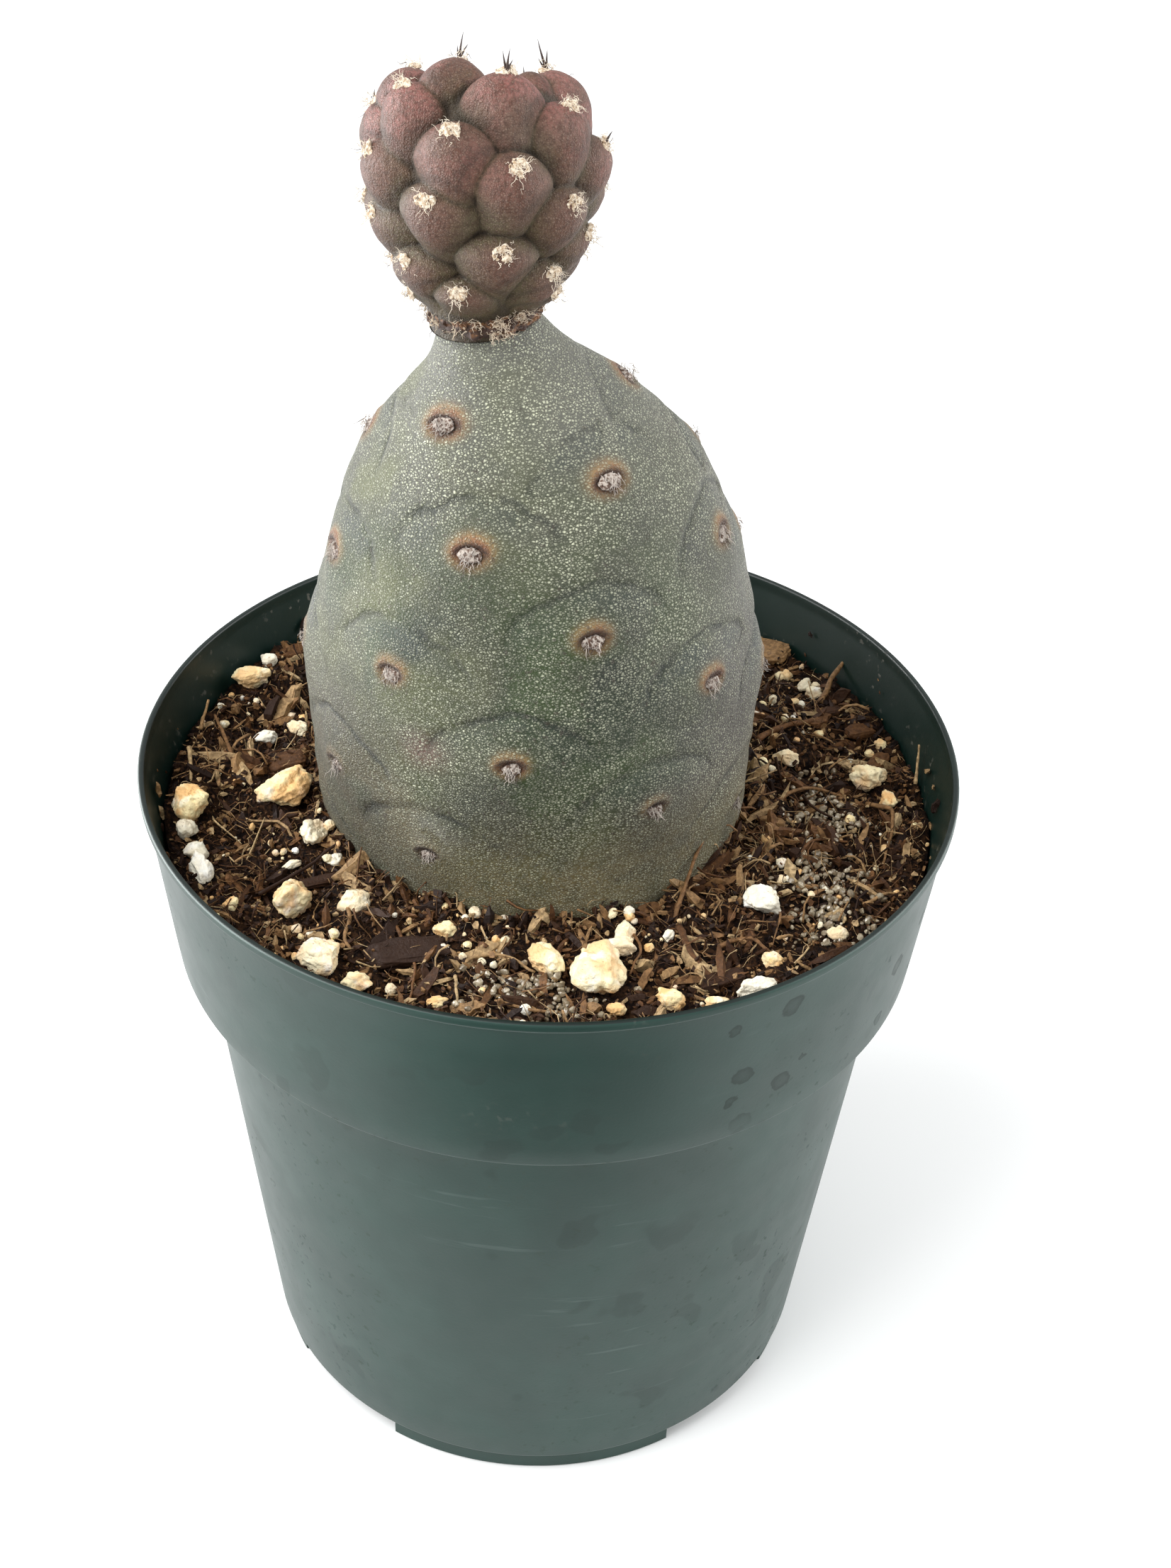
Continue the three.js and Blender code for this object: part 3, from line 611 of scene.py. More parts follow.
def bark_finish():
    """Bark and fibre, from almost black to tan, each piece in its own tone."""
    made = Finish("bark_and_fibre")
    ramp = node(made.tree, "ShaderNodeValToRGB", {0: made.mark("tone")})
    tones = ramp.color_ramp.elements
    tones[0].color = colour((0.008, 0.003, 0.002))
    tones[1].color = colour((0.620, 0.450, 0.240))
    for position, tone in ((0.3, (0.054, 0.021, 0.007)), (0.55, (0.175, 0.079, 0.028)),
                           (0.8, (0.380, 0.225, 0.098))):
        tones.new(position).color = colour(tone)
    made.tint = Value(ramp.outputs[0])
    made.coat(made.mottle(1800, 0.35, 0.65, 4.0) * 0.5, (0.02, 0.008, 0.004))
    return made.finish(Roughness=0.68, Normal=made.relief(3000.0, 0.8, 0.0002), Specular_IOR_Level=0.22)


def perlite_finish():
    """White puffed mineral, stained orange and cream in places."""
    made = Finish("puffed_perlite")
    tone = made.mark("tone")
    yellow = made.mottle(380, 0.25, 0.50, 4.0) * (tone * 1.1 + 0.35).at_most(1.0)
    made.base(yellow, (0.93, 0.93, 0.88), (0.94, 0.80, 0.46))
    made.coat((made.mottle(330, 0.40, 0.60, 5.0) * (tone * 1.3)).at_most(0.80), (0.80, 0.43, 0.15))
    made.coat(made.mottle(2200, 0.64, 0.70, 2.0) * 0.5, (0.30, 0.16, 0.07))
    return made.finish(Roughness=0.8, Normal=made.relief(1300.0, 0.8, 0.0005), Specular_IOR_Level=0.3)


def sand_finish():
    """Small clear and beige grains."""
    made = Finish("beige_sand")
    made.base(made.mark("tone"), (0.110, 0.078, 0.042), (0.520, 0.450, 0.320))
    made.coat(made.mottle(1500, 0.40, 0.62), (0.200, 0.150, 0.092))
    return made.finish(Roughness=0.22, Specular_IOR_Level=0.6)


def lower_finish(settings):
    """Waxy grey green skin under pale papillae, rusty halos and a soiled foot; painted crease shade, side
    light and sheen.
    """
    made = Finish("grey_green_skin")
    across, upright = made.axes()

    def over_mix(low, high, start=0.0, end=1.0, height=upright):
        return height.ranged((SOIL_TOP + low) * MM, (SOIL_TOP + high) * MM, start, end)
    made.base(made.mottle(55, 0.42, 0.62), settings.green, settings.grey)
    made.coat(made.mottle(85, 0.50, 0.64) * 0.6, (0.010, 0.017, 0.013))
    upper_end, neck = over_mix(36, 54), over_mix(50, 61)
    made.coat(upper_end * 0.7, (0.070, 0.070, 0.048))
    made.coat(neck * 0.7, (0.135, 0.135, 0.120))
    # Partly the skin's own yellow green and partly painted light: the left side, toward the key light, is
    # made paler and yellower
    yellow = across.ranged(0.006, -0.020) * over_mix(8, 36) * made.mottle(110, 0.40, 0.66)
    made.coat(yellow * 0.8, (0.100, 0.110, 0.040))
    # Painted sheen: pale lilac grey over the right side, where the grazing bloom shines; the lilac blotches
    # elsewhere are the skin's own tint
    lilac_and_painted_sheen = across.ranged(0.006, 0.026).at_least(made.mottle(48, 0.58, 0.70) * 0.5)
    made.coat(lilac_and_painted_sheen * 0.6, (0.112, 0.095, 0.090))
    made.coat(made.mark("blush") * 0.5, (0.20, 0.085, 0.075))
    made.coat(made.mark("chalk") * made.mottle(420, 0.36, 0.56, 4.0) * 0.9, (0.48, 0.50, 0.48))
    fold = made.mark("fold") + (ripples(made.place, 420, 3.0) * 1.6 - 0.8)
    share = made.mark("fold_share")
    # Painted shade: dark blue grey beneath each crease arc
    below = fold.ranged(0.1, -1.0) * fold.ranged(-4.2, -1.4) * share * made.mottle(180, 0.3, 0.6)
    made.coat(below * 0.75, (0.022, 0.032, 0.034))
    halo = made.mark("halo") * (made.mottle(500, 0.3, 0.65) * 0.35 + 0.65)
    made.coat(halo * 0.9, made.mix(halo.ranged(0.55, 0.95), (0.36, 0.21, 0.080), (0.27, 0.100, 0.034)))
    left = across.ranged(-0.010, -0.022)
    soil = over_mix(20, 3, height=left * -0.012 + upright)
    earth = made.mix(left, (0.180, 0.146, 0.064), (0.066, 0.050, 0.018))
    made.coat(soil * (made.mottle(260, 0.3, 0.6) * 0.5 + 0.4), earth)
    dots = made.group("Papillae", Spacing=settings.papilla, Flatness=1.3, Reach=0.26)
    patchy = made.mottle(95, 0.38, 0.62) * 0.26 + over_mix(36, 12, 0.27, 0.42)
    patchy = (upper_end + neck) * 0.14 + patchy
    patchy = patchy * (halo * -0.6 + 1.0) * (soil * left * -0.45 + 1.0)
    made.coat(dots["Mask"] * patchy, (0.80, 0.82, 0.60))
    # Painted shade: a dark line along each crease, which also sinks the bump
    broken = abs(fold).ranged(0.62, 0.05) * share * made.mottle(210, 0.34, 0.50)
    made.coat(broken * 0.9, (0.010, 0.015, 0.013))
    made.coat(made.mark("rim"), (0.045, 0.018, 0.011))
    made.coat(made.mottle(1400, 0.68, 0.73, 1.0) * 0.5, (0.05, 0.035, 0.025))
    return made.finish(
        Roughness=0.58 - dots["Mask"] * 0.20, Normal=made.bump(dots["Height"] - broken * 1.6, 1.0, 0.00016),
        Specular_IOR_Level=0.30, Sheen_Weight=0.10, Sheen_Roughness=0.42, Sheen_Tint=(0.88, 0.86, 0.84, 1))


def upper_finish(settings):
    """Mauve brown tubercles over olive valleys, with fine grain, painted shade in the creases and valleys,
    and painted light on top.
    """
    made = Finish("mauve_brown_skin")
    swell, youth = made.mark("swell"), made.mark("youth")
    share = swell + (youth * 0.45 + made.mottle(260, 0.3, 0.7) * 0.30)
    made.base(share.ranged(0.50, 1.25), settings.olive, settings.blush)
    # Partly the pinker new growth and partly painted light: the top, facing the lights, is made paler pink
    made.coat(youth * made.mottle(150, 0.40, 0.60) * 0.8, (0.265, 0.100, 0.086))
    made.coat(made.mottle(110, 0.52, 0.68) * 0.5, (0.078, 0.042, 0.026))
    made.coat(made.mottle(90, 0.58, 0.72) * 0.25, (0.15, 0.115, 0.085))
    # Painted shade: the valleys between the tubercles near the top are darkened
    made.coat(swell.ranged(0.20, 0.02) * youth * 0.8, (0.026, 0.017, 0.009))
    streaks = made.streaks((1700, 1700, 500), 0.44, 0.62, 4.0)
    made.coat(made.mark("rust") * streaks * 0.75, (0.085, 0.028, 0.014))
    made.coat(made.mottle(2300, 0.44, 0.60, 3.0) * 0.55, (0.050, 0.022, 0.014))
    dots = made.group("Papillae", Spacing=0.00026, Flatness=1.0, Reach=0.30)
    made.coat(dots["Mask"] * 0.26, (0.42, 0.30, 0.22))
    made.coat(made.mark("valley") * 0.55, (0.060, 0.048, 0.022))
    # Painted shadow: a dark line along the overhanging upper edge of each tubercle and where tubercles meet
    made.coat(made.mark("crease") * 0.95, (0.016, 0.009, 0.004))
    return made.finish(
        Roughness=0.54, Normal=made.bump(dots["Height"] + streaks * 0.8, 0.8, 0.00008),
        Specular_IOR_Level=0.26, Sheen_Weight=0.05, Sheen_Roughness=0.40, Sheen_Tint=(0.92, 0.84, 0.80, 1))


def wool_finish(name, pale, felt, dark, share):
    """Wool of pale fibres over darker felt, with a share of dark fibres and specks."""
    made = Finish(name)
    felted = made.mark("felt")
    made.base(felted, pale, made.mix(made.mottle(2600, 0.4, 0.62), felt, pale))
    dark_ones = made.mark("tone").ranged(1.0 - share, 1.0 - share + 0.05)
    made.coat(dark_ones.at_least(made.mottle(2100, 0.58, 0.64) * felted * 0.9), dark)
    return made.finish(Roughness=0.85, Specular_IOR_Level=0.25, Sheen_Weight=0.3)


def spine_finish():
    """Dark horny spines with a grey tip."""
    made = Finish("dark_horn")
    made.base(made.mark("along").ranged(0.45, 1.0), (0.035, 0.014, 0.008), (0.060, 0.045, 0.045))
    return made.finish(Roughness=0.4)


def cork_finish():
    """Layered cork, orange brown under dark crumbs."""
    made = Finish("layered_cork")
    made.base(made.streaks((350, 350, 1500), 0.42, 0.62, 4.0), (0.040, 0.015, 0.007), (0.210, 0.095, 0.036))
    made.coat(made.mottle(1400, 0.48, 0.60) * 0.8, (0.028, 0.013, 0.008))
    return made.finish(Roughness=0.75, Normal=made.relief(2200.0, 0.9, 0.0003))


def plain_finish(name, tone, **sockets):
    """One even colour."""
    return Finish(name).finish(Base_Color=colour(tone), **sockets)


# Meshes

def new_piece(name, points, faces):
    """A smooth mesh object from points in millimetres, with its place in its mesh."""
    mesh = bpy.data.meshes.new(name)
    mesh.from_pydata((np.asarray(points, float) * MM).tolist(), [], faces)
    mesh.shade_smooth()
    piece = bpy.data.objects.new(name, mesh)
    bpy.context.scene.collection.objects.link(piece)
    return piece


def mesh_points(piece):
    """The points of a piece in millimetres."""
    points = np.empty(len(piece.data.vertices) * 3)
    piece.data.vertices.foreach_get("co", points)
    return points.reshape(-1, 3) / MM


def add_mark(piece, name, values):
    """Stores a number, or a vector, at each point of a mesh."""
    values = np.asarray(values, np.float32)
    kind, key = ("FLOAT_VECTOR", "vector") if values.ndim == 2 else ("FLOAT", "value")
    piece.data.attributes.new(name, kind, "POINT").data.foreach_set(key, values.ravel())


def settle(piece, material, node_name=None):
    """Gives a piece its finish and ties it to the model."""
    piece.data.materials.clear()
    piece.data.materials.append(material)
    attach(piece, "root")
    if node_name:
        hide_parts(node_name)


def around(count):
    """Even angles once around."""
    return np.arange(count) * 2 * math.pi / count


def level_ring(radius, height, angles, x=0.0, y=0.0):
    """Points of a level circle."""
    return np.column_stack([x + radius * np.cos(angles), y + radius * np.sin(angles),
                            np.full(len(angles), height)])


def with_poles(low, points, high):
    """Rings of points between a lowest and a highest point."""
    return np.concatenate([[low], points, [high]])


def ring_faces(rows, columns, poles=True):
    """Faces of rings joined from the bottom up, counted anticlockwise, closed to poles or open.

    The points are the bottom pole, the rings and the top pole, in that order."""
    start = 1 if poles else 0
    last = start + rows * columns
    faces = []
    for j in range(columns):
        k = (j + 1) % columns
        if poles:
            faces.append((0, start + k, start + j))
        for i in range(rows - 1):
            low, high = start + i * columns, start + (i + 1) * columns
            faces.append((low + j, low + k, high + k, high + j))
        if poles:
            faces.append((last - columns + j, last - columns + k, last))
    return faces


def tube_faces(rows, sides, turned_round=False):
    """Faces of a tube of rings with flat ends, outward for rings counted anticlockwise, or turned round."""
    last = (rows - 1) * sides
    first_end, last_end = tuple(range(sides)), tuple(range(last, last + sides))
    faces = [first_end, last_end[::-1]] if turned_round else [first_end[::-1], last_end]
    for low in range(0, last, sides):
        high = low + sides
        for j in range(sides):
            k = (j + 1) % sides
            if turned_round:
                j, k = k, j
            faces.append((low + j, low + k, high + k, high + j))
    return faces


def tube_points(middles, radii, side, other, sides):
    """Rings of points around a path."""
    angles = around(sides)[:, None]
    outward = np.cos(angles) * side[..., None, :] + np.sin(angles) * other[..., None, :]
    return (middles[:, None] + radii[:, None, None] * outward).reshape(-1, 3)


def joined(bodies):
    """Several bodies, each of points and faces, as one."""
    points, faces, start = [], [], 0
    for body_points, body_faces in bodies:
        points.append(body_points)
        faces += [tuple(i + start for i in face) for face in body_faces]
        start += len(body_points)
    return np.concatenate(points), faces


def merged(name, bodies, tones):
    """One piece from several bodies, each with a number that its points keep as their tone."""
    piece = new_piece(name, *joined(bodies))
    add_mark(piece, "tone", np.repeat(tones, [len(points) for points, _ in bodies]))
    return piece


def unit(vectors):
    """Vectors brought to unit length."""
    return vectors / np.linalg.norm(vectors, axis=-1, keepdims=True)


def rounded(corners, radius):
    """An outline with its corners rounded, given as radius, height and share of the rounding."""
    steps = 4
    points = []
    for i, (x, y, share) in enumerate(corners):
        here = np.array([x, y], float)
        if share == 0 or i in (0, len(corners) - 1):
            points.append(here)
            continue
        before = np.array(corners[i - 1][:2], float) - here
        after = np.array(corners[i + 1][:2], float) - here
        reach = min(radius * share, 0.45 * np.linalg.norm(before), 0.45 * np.linalg.norm(after))
        first, second = here + unit(before) * reach, here + unit(after) * reach
        for t in np.linspace(0, 1, steps + 1):
            points.append((1 - t) ** 2 * first + 2 * t * (1 - t) * here + t ** 2 * second)
    return np.array(points)


def turned(name, outline, sides):
    """A closed body turned from an outline that starts and ends on the axis."""
    rings = np.concatenate([level_ring(radius, height, around(sides)) for radius, height in outline[1:-1]])
    points = with_poles((0, 0, outline[0][1]), rings, (0, 0, outline[-1][1]))
    return new_piece(name, points, ring_faces(len(outline) - 2, sides))


def cloud(points, size, seed):
    """Smooth random numbers from -1 to 1 at points, with features of a given size."""
    shift = Vector((seed * 17.3, seed * -7.1, seed * 3.7))
    return np.array([noise.noise(Vector(p) / size + shift) for p in points])


def apply_modifiers(piece):
    """Turns a piece with modifiers into a plain mesh of the same name."""
    graph = bpy.context.evaluated_depsgraph_get()
    mesh = bpy.data.meshes.new_from_object(piece.evaluated_get(graph), depsgraph=graph)
    name, old = piece.name, piece.data
    piece.modifiers.clear()
    piece.data = mesh
    bpy.data.meshes.remove(old)
    mesh.name = name


def run_nodes(piece, tree, **values):
    """Runs a node tree on a piece, with its inputs set by name, and keeps the plain mesh."""
    modifier = piece.modifiers.new(tree.name, "NODES")
    modifier.node_group = tree
    for item in tree.interface.items_tree:
        if item.in_out == "INPUT" and item.name in values:
            modifier[item.identifier] = values[item.name]
    apply_modifiers(piece)


def leaning_frame(lean_right, lean_back):
    """The directions of a segment that leans by two angles: to its right, to its back and along it."""
    along = unit(np.array([math.tan(math.radians(lean_right)), math.tan(math.radians(lean_back)), 1.0]))
    right = unit(np.cross([0.0, 1.0, 0.0], along))
    return right, np.cross(along, right), along


def in_frame(directions, origin, x, y, z):
    """Points given along a segment's own directions."""
    x, y, z = (np.asarray(part, float)[..., None] for part in (x, y, z))
    right, back, along = directions
    return origin + x * right + y * back + z * along


def smooth(given, low, high):
    """A smooth way from 0 at low to 1 at high."""
    t = np.clip((given - low) / (high - low), 0, 1)
    return t * t * (3 - 2 * t)


def bell(given, width):
    """A bump of height 1 at zero that fades within a width."""
    return np.exp(-(given / width) ** 2)


class Outline:
    """A smooth outline of radius and height pairs, read by the distance along it."""

    def __init__(self, pairs):
        samples = 6000
        points = np.array(pairs, float)
        last = len(points) - 1
        t = np.linspace(0, last, samples)
        i = np.minimum(t.astype(int), last - 1)
        w = (t - i)[:, None]
        p0, p1 = points[np.maximum(i - 1, 0)], points[i]
        p2, p3 = points[i + 1], points[np.minimum(i + 2, last)]
        v0, v1 = (p2 - p0) / 2, (p3 - p1) / 2
        curve = (2 * p1 - 2 * p2 + v0 + v1) * w ** 3 + (3 * p2 - 3 * p1 - 2 * v0 - v1) * w ** 2 + v0 * w + p1
        steps = np.linalg.norm(np.diff(curve, axis=0), axis=1)
        self.distance = np.concatenate([[0], np.cumsum(steps)])
        self.radius, self.height = np.maximum(curve[:, 0], 0), curve[:, 1]
        slope = np.gradient(curve, axis=0)
        slope /= np.maximum(np.linalg.norm(slope, axis=1), 1e-9)[:, None]
        self.out, self.rise = slope[:, 0], slope[:, 1]
        self.length = self.distance[-1]

    def at(self, distance):
        """Radius, height, and the slope outwards and upwards."""
        return tuple(np.interp(distance, self.distance, values)
                     for values in (self.radius, self.height, self.out, self.rise))


# Pot

def wall_inside(height):
    """The inside radius of the pot's band at a height."""
    slope = (BAND_TOP_RADIUS - BAND_BOTTOM_RADIUS - BEVEL_OUT) / (LIP_BOTTOM - BAND_BEVEL_TOP)
    return BAND_BOTTOM_RADIUS + BEVEL_OUT - WALL + slope * (height - BAND_BEVEL_TOP)


def pot_outline(rounding):
    """The section of the wall from the middle of the underside to the middle of the floor."""
    lip_inside = RIM_RADIUS - LIP_WIDTH
    step_inside = BAND_BOTTOM + WALL
    return rounded([
        (0, FOOT_HEIGHT, 0), (BASE_RADIUS, FOOT_HEIGHT, 1.2), (BODY_TOP_RADIUS, BAND_BOTTOM, 0.5),
        (BAND_BOTTOM_RADIUS, BAND_BOTTOM, 0.9), (BAND_BOTTOM_RADIUS + BEVEL_OUT, BAND_BEVEL_TOP, 1.5),
        (BAND_TOP_RADIUS, LIP_BOTTOM, 0.8), (RIM_RADIUS, LIP_BOTTOM + 0.3, 1.0),
        (RIM_RADIUS, POT_HEIGHT, 0.7), (lip_inside, POT_HEIGHT, 0.6), (lip_inside - 0.1, LIP_BOTTOM, 1.0),
        (wall_inside(SOIL_TOP + 1), SOIL_TOP + 1, 1.0), (wall_inside(BAND_BEVEL_TOP), BAND_BEVEL_TOP, 1.5),
        (BAND_BOTTOM_RADIUS - WALL, step_inside, 1.0), (BODY_TOP_RADIUS - WALL, step_inside, 1.0),
        (BASE_RADIUS - WALL, FLOOR_TOP, 1.2), (0, FLOOR_TOP, 0),
    ], rounding)


def with_edge_loops(outline, longest):
    """An outline with long stretches cut into shorter ones."""
    points = [outline[0]]
    for start, end in zip(outline[:-1], outline[1:]):
        count = max(1, math.ceil(np.linalg.norm(end - start) / longest))
        for i in range(1, count + 1):
            points.append(start + (end - start) * i / count)
    return np.array(points)


def foot_body(middle):
    """One stretch of the foot ring, as points and faces."""
    outer = BASE_RADIUS - FOOT_INSET
    inner, top = outer - FOOT_WIDTH, FOOT_HEIGHT + 0.4
    angles = np.radians(np.linspace(middle - FOOT_ANGLE / 2, middle + FOOT_ANGLE / 2, 40))
    section = [(inner, FOOT_BEVEL), (inner + FOOT_BEVEL, 0), (outer - FOOT_BEVEL, 0), (outer, FOOT_BEVEL),
               (outer, top), (inner, top)]
    points = [(r * math.cos(a), r * math.sin(a), z) for a in angles for r, z in section]
    return points, tube_faces(len(angles), len(section), turned_round=True)


def drain_body(x, y):
    """A round plug that cuts one drain hole, as points and faces."""
    sides, low, high = 40, FOOT_HEIGHT - 2, FLOOR_TOP + 2
    rings = [level_ring(DRAIN_RADIUS, height, around(sides), x, y) for height in (low, high)]
    return with_poles((x, y, low), np.concatenate(rings), (x, y, high)), ring_faces(2, sides)


def boolean_with(piece, bodies, operation):
    """Joins or cuts a piece with bodies that don't touch each other."""
    tool = new_piece("tool", *joined(bodies))
    modifier = piece.modifiers.new(operation, "BOOLEAN")
    modifier.operation = operation
    modifier.solver = "EXACT"
    modifier.object = tool
    apply_modifiers(piece)
    bpy.data.meshes.remove(tool.data)


def make_pot(settings):
    """The pot with its feet, drain holes and a finely rounded wall."""
    outline = with_edge_loops(pot_outline(settings.rounding / MM), 6.0)
    pot = turned("pot_shell", outline, settings.sides)
    middles = [-90 + 360 / FOOT_COUNT * i for i in range(FOOT_COUNT)]
    boolean_with(pot, [foot_body(middle) for middle in middles], "UNION")
    sides = [math.radians(middle + 180 / FOOT_COUNT) for middle in middles]
    drains = [(0.0, 0.0)] + [(DRAIN_DISTANCE * math.cos(a), DRAIN_DISTANCE * math.sin(a)) for a in sides]
    boolean_with(pot, [drain_body(x, y) for x, y in drains], "DIFFERENCE")
    pot.data.shade_smooth()
    pot.data.set_sharp_from_angle(angle=math.radians(40))
    x, y, height = mesh_points(pot).T
    radius = np.hypot(x, y)
    wall = np.interp(height, [FLOOR_TOP, BAND_BOTTOM, BAND_BOTTOM + 2, LIP_BOTTOM],
                     [BASE_RADIUS, BODY_TOP_RADIUS, BAND_BOTTOM_RADIUS, BAND_TOP_RADIUS])
    # The inside mark places painted shade and dust
    add_mark(pot, "inside", (radius < wall - 0.2) & (height > FLOOR_TOP - 0.2) & (height < POT_HEIGHT - 0.05))
    # The lip_top mark places painted shade
    add_mark(pot, "lip_top", (height > POT_HEIGHT - 0.22) & (radius < RIM_RADIUS - 0.12))
    settle(pot, pot_finish(settings), "pot")


# Potting mix

def soil_height(x, y):
    """The gentle waves of the mix, which is heaped a little against the wall at the left."""
    wave = np.sin(x * 0.31 + 1.3) * np.cos(y * 0.27 - 0.4) + 0.6 * np.sin(x * 0.13 - y * 0.19)
    return SOIL_TOP + 0.5 * wave + 1.7 * smooth(np.hypot(x, y), 36, 47) * smooth(-x, 20, 42)


def from_plant(x, y):
    """How far places lie from the middle of the lower segment."""
    return np.hypot(x - LOWER_BASE[0], y - LOWER_BASE[1])


def make_bed(settings):
    """The body of the mix: a bumpy top, and sides that follow the pot."""
    columns, rings = 300, 64
    angles = around(columns)
    inset, step = WALL + MIX_GAP, BAND_BOTTOM + WALL
    edge = wall_inside(SOIL_TOP) - MIX_GAP
    side = [
        (BASE_RADIUS - inset - 0.7, FLOOR_TOP + MIX_GAP), (BASE_RADIUS - inset, FLOOR_TOP + 0.9),
        (BODY_TOP_RADIUS - inset, BAND_BOTTOM + 0.7), (BODY_TOP_RADIUS - inset + 0.5, step + MIX_GAP),
        (BAND_BOTTOM_RADIUS - inset - 0.5, step + MIX_GAP), (BAND_BOTTOM_RADIUS - inset, step + 0.9),
        (wall_inside(BAND_BEVEL_TOP) - MIX_GAP, BAND_BEVEL_TOP), (edge - 0.2, SOIL_TOP - 2.0),
    ]
    sides = [level_ring(radius, height, angles) for radius, height in side]
    flat = np.concatenate([level_ring(radius, 0.0, angles) for radius in np.linspace(edge, 1.0, rings)])
    x, y, _ = flat.T
    away = from_plant(x, y)
    bumps = cloud(flat, 4.2, 1) * 0.9 + cloud(flat, 1.7, 2) * 0.8 + cloud(flat, 0.8, 3) * 0.5
    bumps += smooth(away, 31.0, 26.5) * (0.5 + 2.2 * cloud(flat, 3.2, 15))
    sunk = SOCKET_DEPTH * smooth(away, 25.5, 23.0)
    top = np.column_stack([x, y, soil_height(x, y) + settings.roughness / MM * bumps - sunk])
    points = with_poles((0, 0, FLOOR_TOP + MIX_GAP), np.concatenate([*sides, top]),
                        (0, 0, SOIL_TOP - SOCKET_DEPTH))
    bed = new_piece("mix_bed", points, ring_faces(len(side) + rings, columns))
    add_bed_marks(bed, edge)
    settle(bed, bed_finish(), "soil")
    return bed


def add_bed_marks(bed, edge):
    """Where sand, bark and crumbs may lie on the bed, and how much room they have."""
    ground = mesh_points(bed)
    x, y, height = ground.T
    radius, away = np.hypot(x, y), from_plant(x, y)
    top = (height > SOIL_TOP - 1.9) & (away > 25.6) & (radius < edge - 0.6)
    sand = np.zeros(len(ground))
    for cx, cy, wide, deep in SAND_PATCHES:
        reach = ((x - cx) / wide) ** 2 + ((y - cy) / deep) ** 2
        sand = np.maximum(sand, np.exp(-reach ** 2 * 1.2))
    sand *= smooth(cloud(ground * [1, 1, 0], 3.0, 16), -0.25, 0.25)
    clear = np.ones(len(ground))
    room = np.maximum(edge - radius, 0) * 1.9 + 0.25
    for lump_x, lump_y, long, wide, turn, _ in PERLITE:
        shifted = turn_about_z(ground - [lump_x, lump_y, 0], math.radians(-turn))
        reach = np.hypot(shifted[:, 0] / (long * 0.5), shifted[:, 1] / (wide * 0.5))
        clear *= smooth(reach, 0.7, 1.1)
        room = np.minimum(room, 0.9 + np.maximum(reach - 1.1, 0) * wide)
    add_mark(bed, "sand", sand * top * clear)
    add_mark(bed, "bark", top * clear * (1 - 0.6 * sand) * (1 + 0.6 * smooth(away, 30, 27)))
    add_mark(bed, "crumbs", top * clear * smooth(cloud(ground * [1, 1, 0], 9.0, 14), -0.15, 0.35))
    add_mark(bed, "room", room * MM)


def ball(detail):
    """An even ball of triangles, as points and faces."""
    golden = (1 + math.sqrt(5)) / 2
    points = [(-1, golden, 0), (1, golden, 0), (-1, -golden, 0), (1, -golden, 0), (0, -1, golden),
              (0, 1, golden), (0, -1, -golden), (0, 1, -golden), (golden, 0, -1), (golden, 0, 1),
              (-golden, 0, -1), (-golden, 0, 1)]
    faces = [(0, 11, 5), (0, 5, 1), (0, 1, 7), (0, 7, 10), (0, 10, 11), (1, 5, 9), (5, 11, 4), (11, 10, 2),
             (10, 7, 6), (7, 1, 8), (3, 9, 4), (3, 4, 2), (3, 2, 6), (3, 6, 8), (3, 8, 9), (4, 9, 5),
             (2, 4, 11), (6, 2, 10), (8, 6, 7), (9, 8, 1)]
    points = [np.array(p, float) / math.hypot(1, golden) for p in points]
    for _ in range(detail):
        middles, finer = {}, []
        for a, b, c in faces:
            corners = []
            for p, q in ((a, b), (b, c), (c, a)):
                key = (min(p, q), max(p, q))
                if key not in middles:
                    points.append(unit(points[p] + points[q]))
                    middles[key] = len(points) - 1
                corners.append(middles[key])
            ab, bc, ca = corners
            finer += [(a, ab, ca), (b, bc, ab), (c, ca, bc), (ab, bc, ca)]
        faces = finer
    return np.array(points), faces


def lump_mesh(rng, detail, knobs):
    """A puffed lump of unit size: round knobs with clefts between them, and broken flats."""
    points, faces = ball(detail)
    swelling = np.full(len(points), 0.58 if knobs else 1.0)
    for _ in range(knobs):
        centre = unit(rng.normal(size=3)) * rng.uniform(0.28, 0.52)
        along = points @ centre
        inside = along ** 2 - centre @ centre + rng.uniform(0.34, 0.52) ** 2
        reach = along + np.sqrt(np.maximum(inside, 0))
        swelling = np.maximum(swelling, np.where((inside > 0) & (along > 0), reach, 0))
    for _ in range(9):
        towards = unit(rng.normal(size=3))
        flat = rng.uniform(0.48, 0.80) / np.maximum(points @ towards, 0.05)
        swelling = np.minimum(swelling, flat)
    if detail > 1:
        for height, size in ((0.10, 0.40), (0.055, 0.16)):
            swelling += height * cloud(points, size, rng.uniform(0, 50))
    return points * swelling[:, None], faces


def slab_mesh(rng, detail):
    """A slab of bark of unit length, split and ragged at its ends, as points and faces."""
    points, faces = ball(detail)
    boxy = np.sign(points) * np.abs(points) ** 0.62
    boxy *= 1 + 0.16 * cloud(points, 0.35, rng.uniform(0, 50))[:, None]
    boxy[:, 2] += 0.16 * cloud(points * [0.4, 2.2, 1.0], 0.5, rng.uniform(0, 50))
    return boxy / 2, faces


def splinter(rng, width, thick, sections=LONG_SPLINTER):
    """A jagged splinter of unit length from sections along it, as points and faces."""
    points = []
    for x, share in sections:
        sway = rng.uniform(-0.25, 0.25, 2) * width
        for y, z in ((-1, -1), (1, -1), (1, 1), (-1, 1)):
            jitter = rng.uniform(-0.22, 0.22, 3)
            points.append((x + jitter[0] * 0.35, (y * share + jitter[1]) * width / 2 + sway[0],
                           (z * share + jitter[2]) * thick / 2 + sway[1] * 0.5))
    return np.array(points), tube_faces(len(sections), 4)


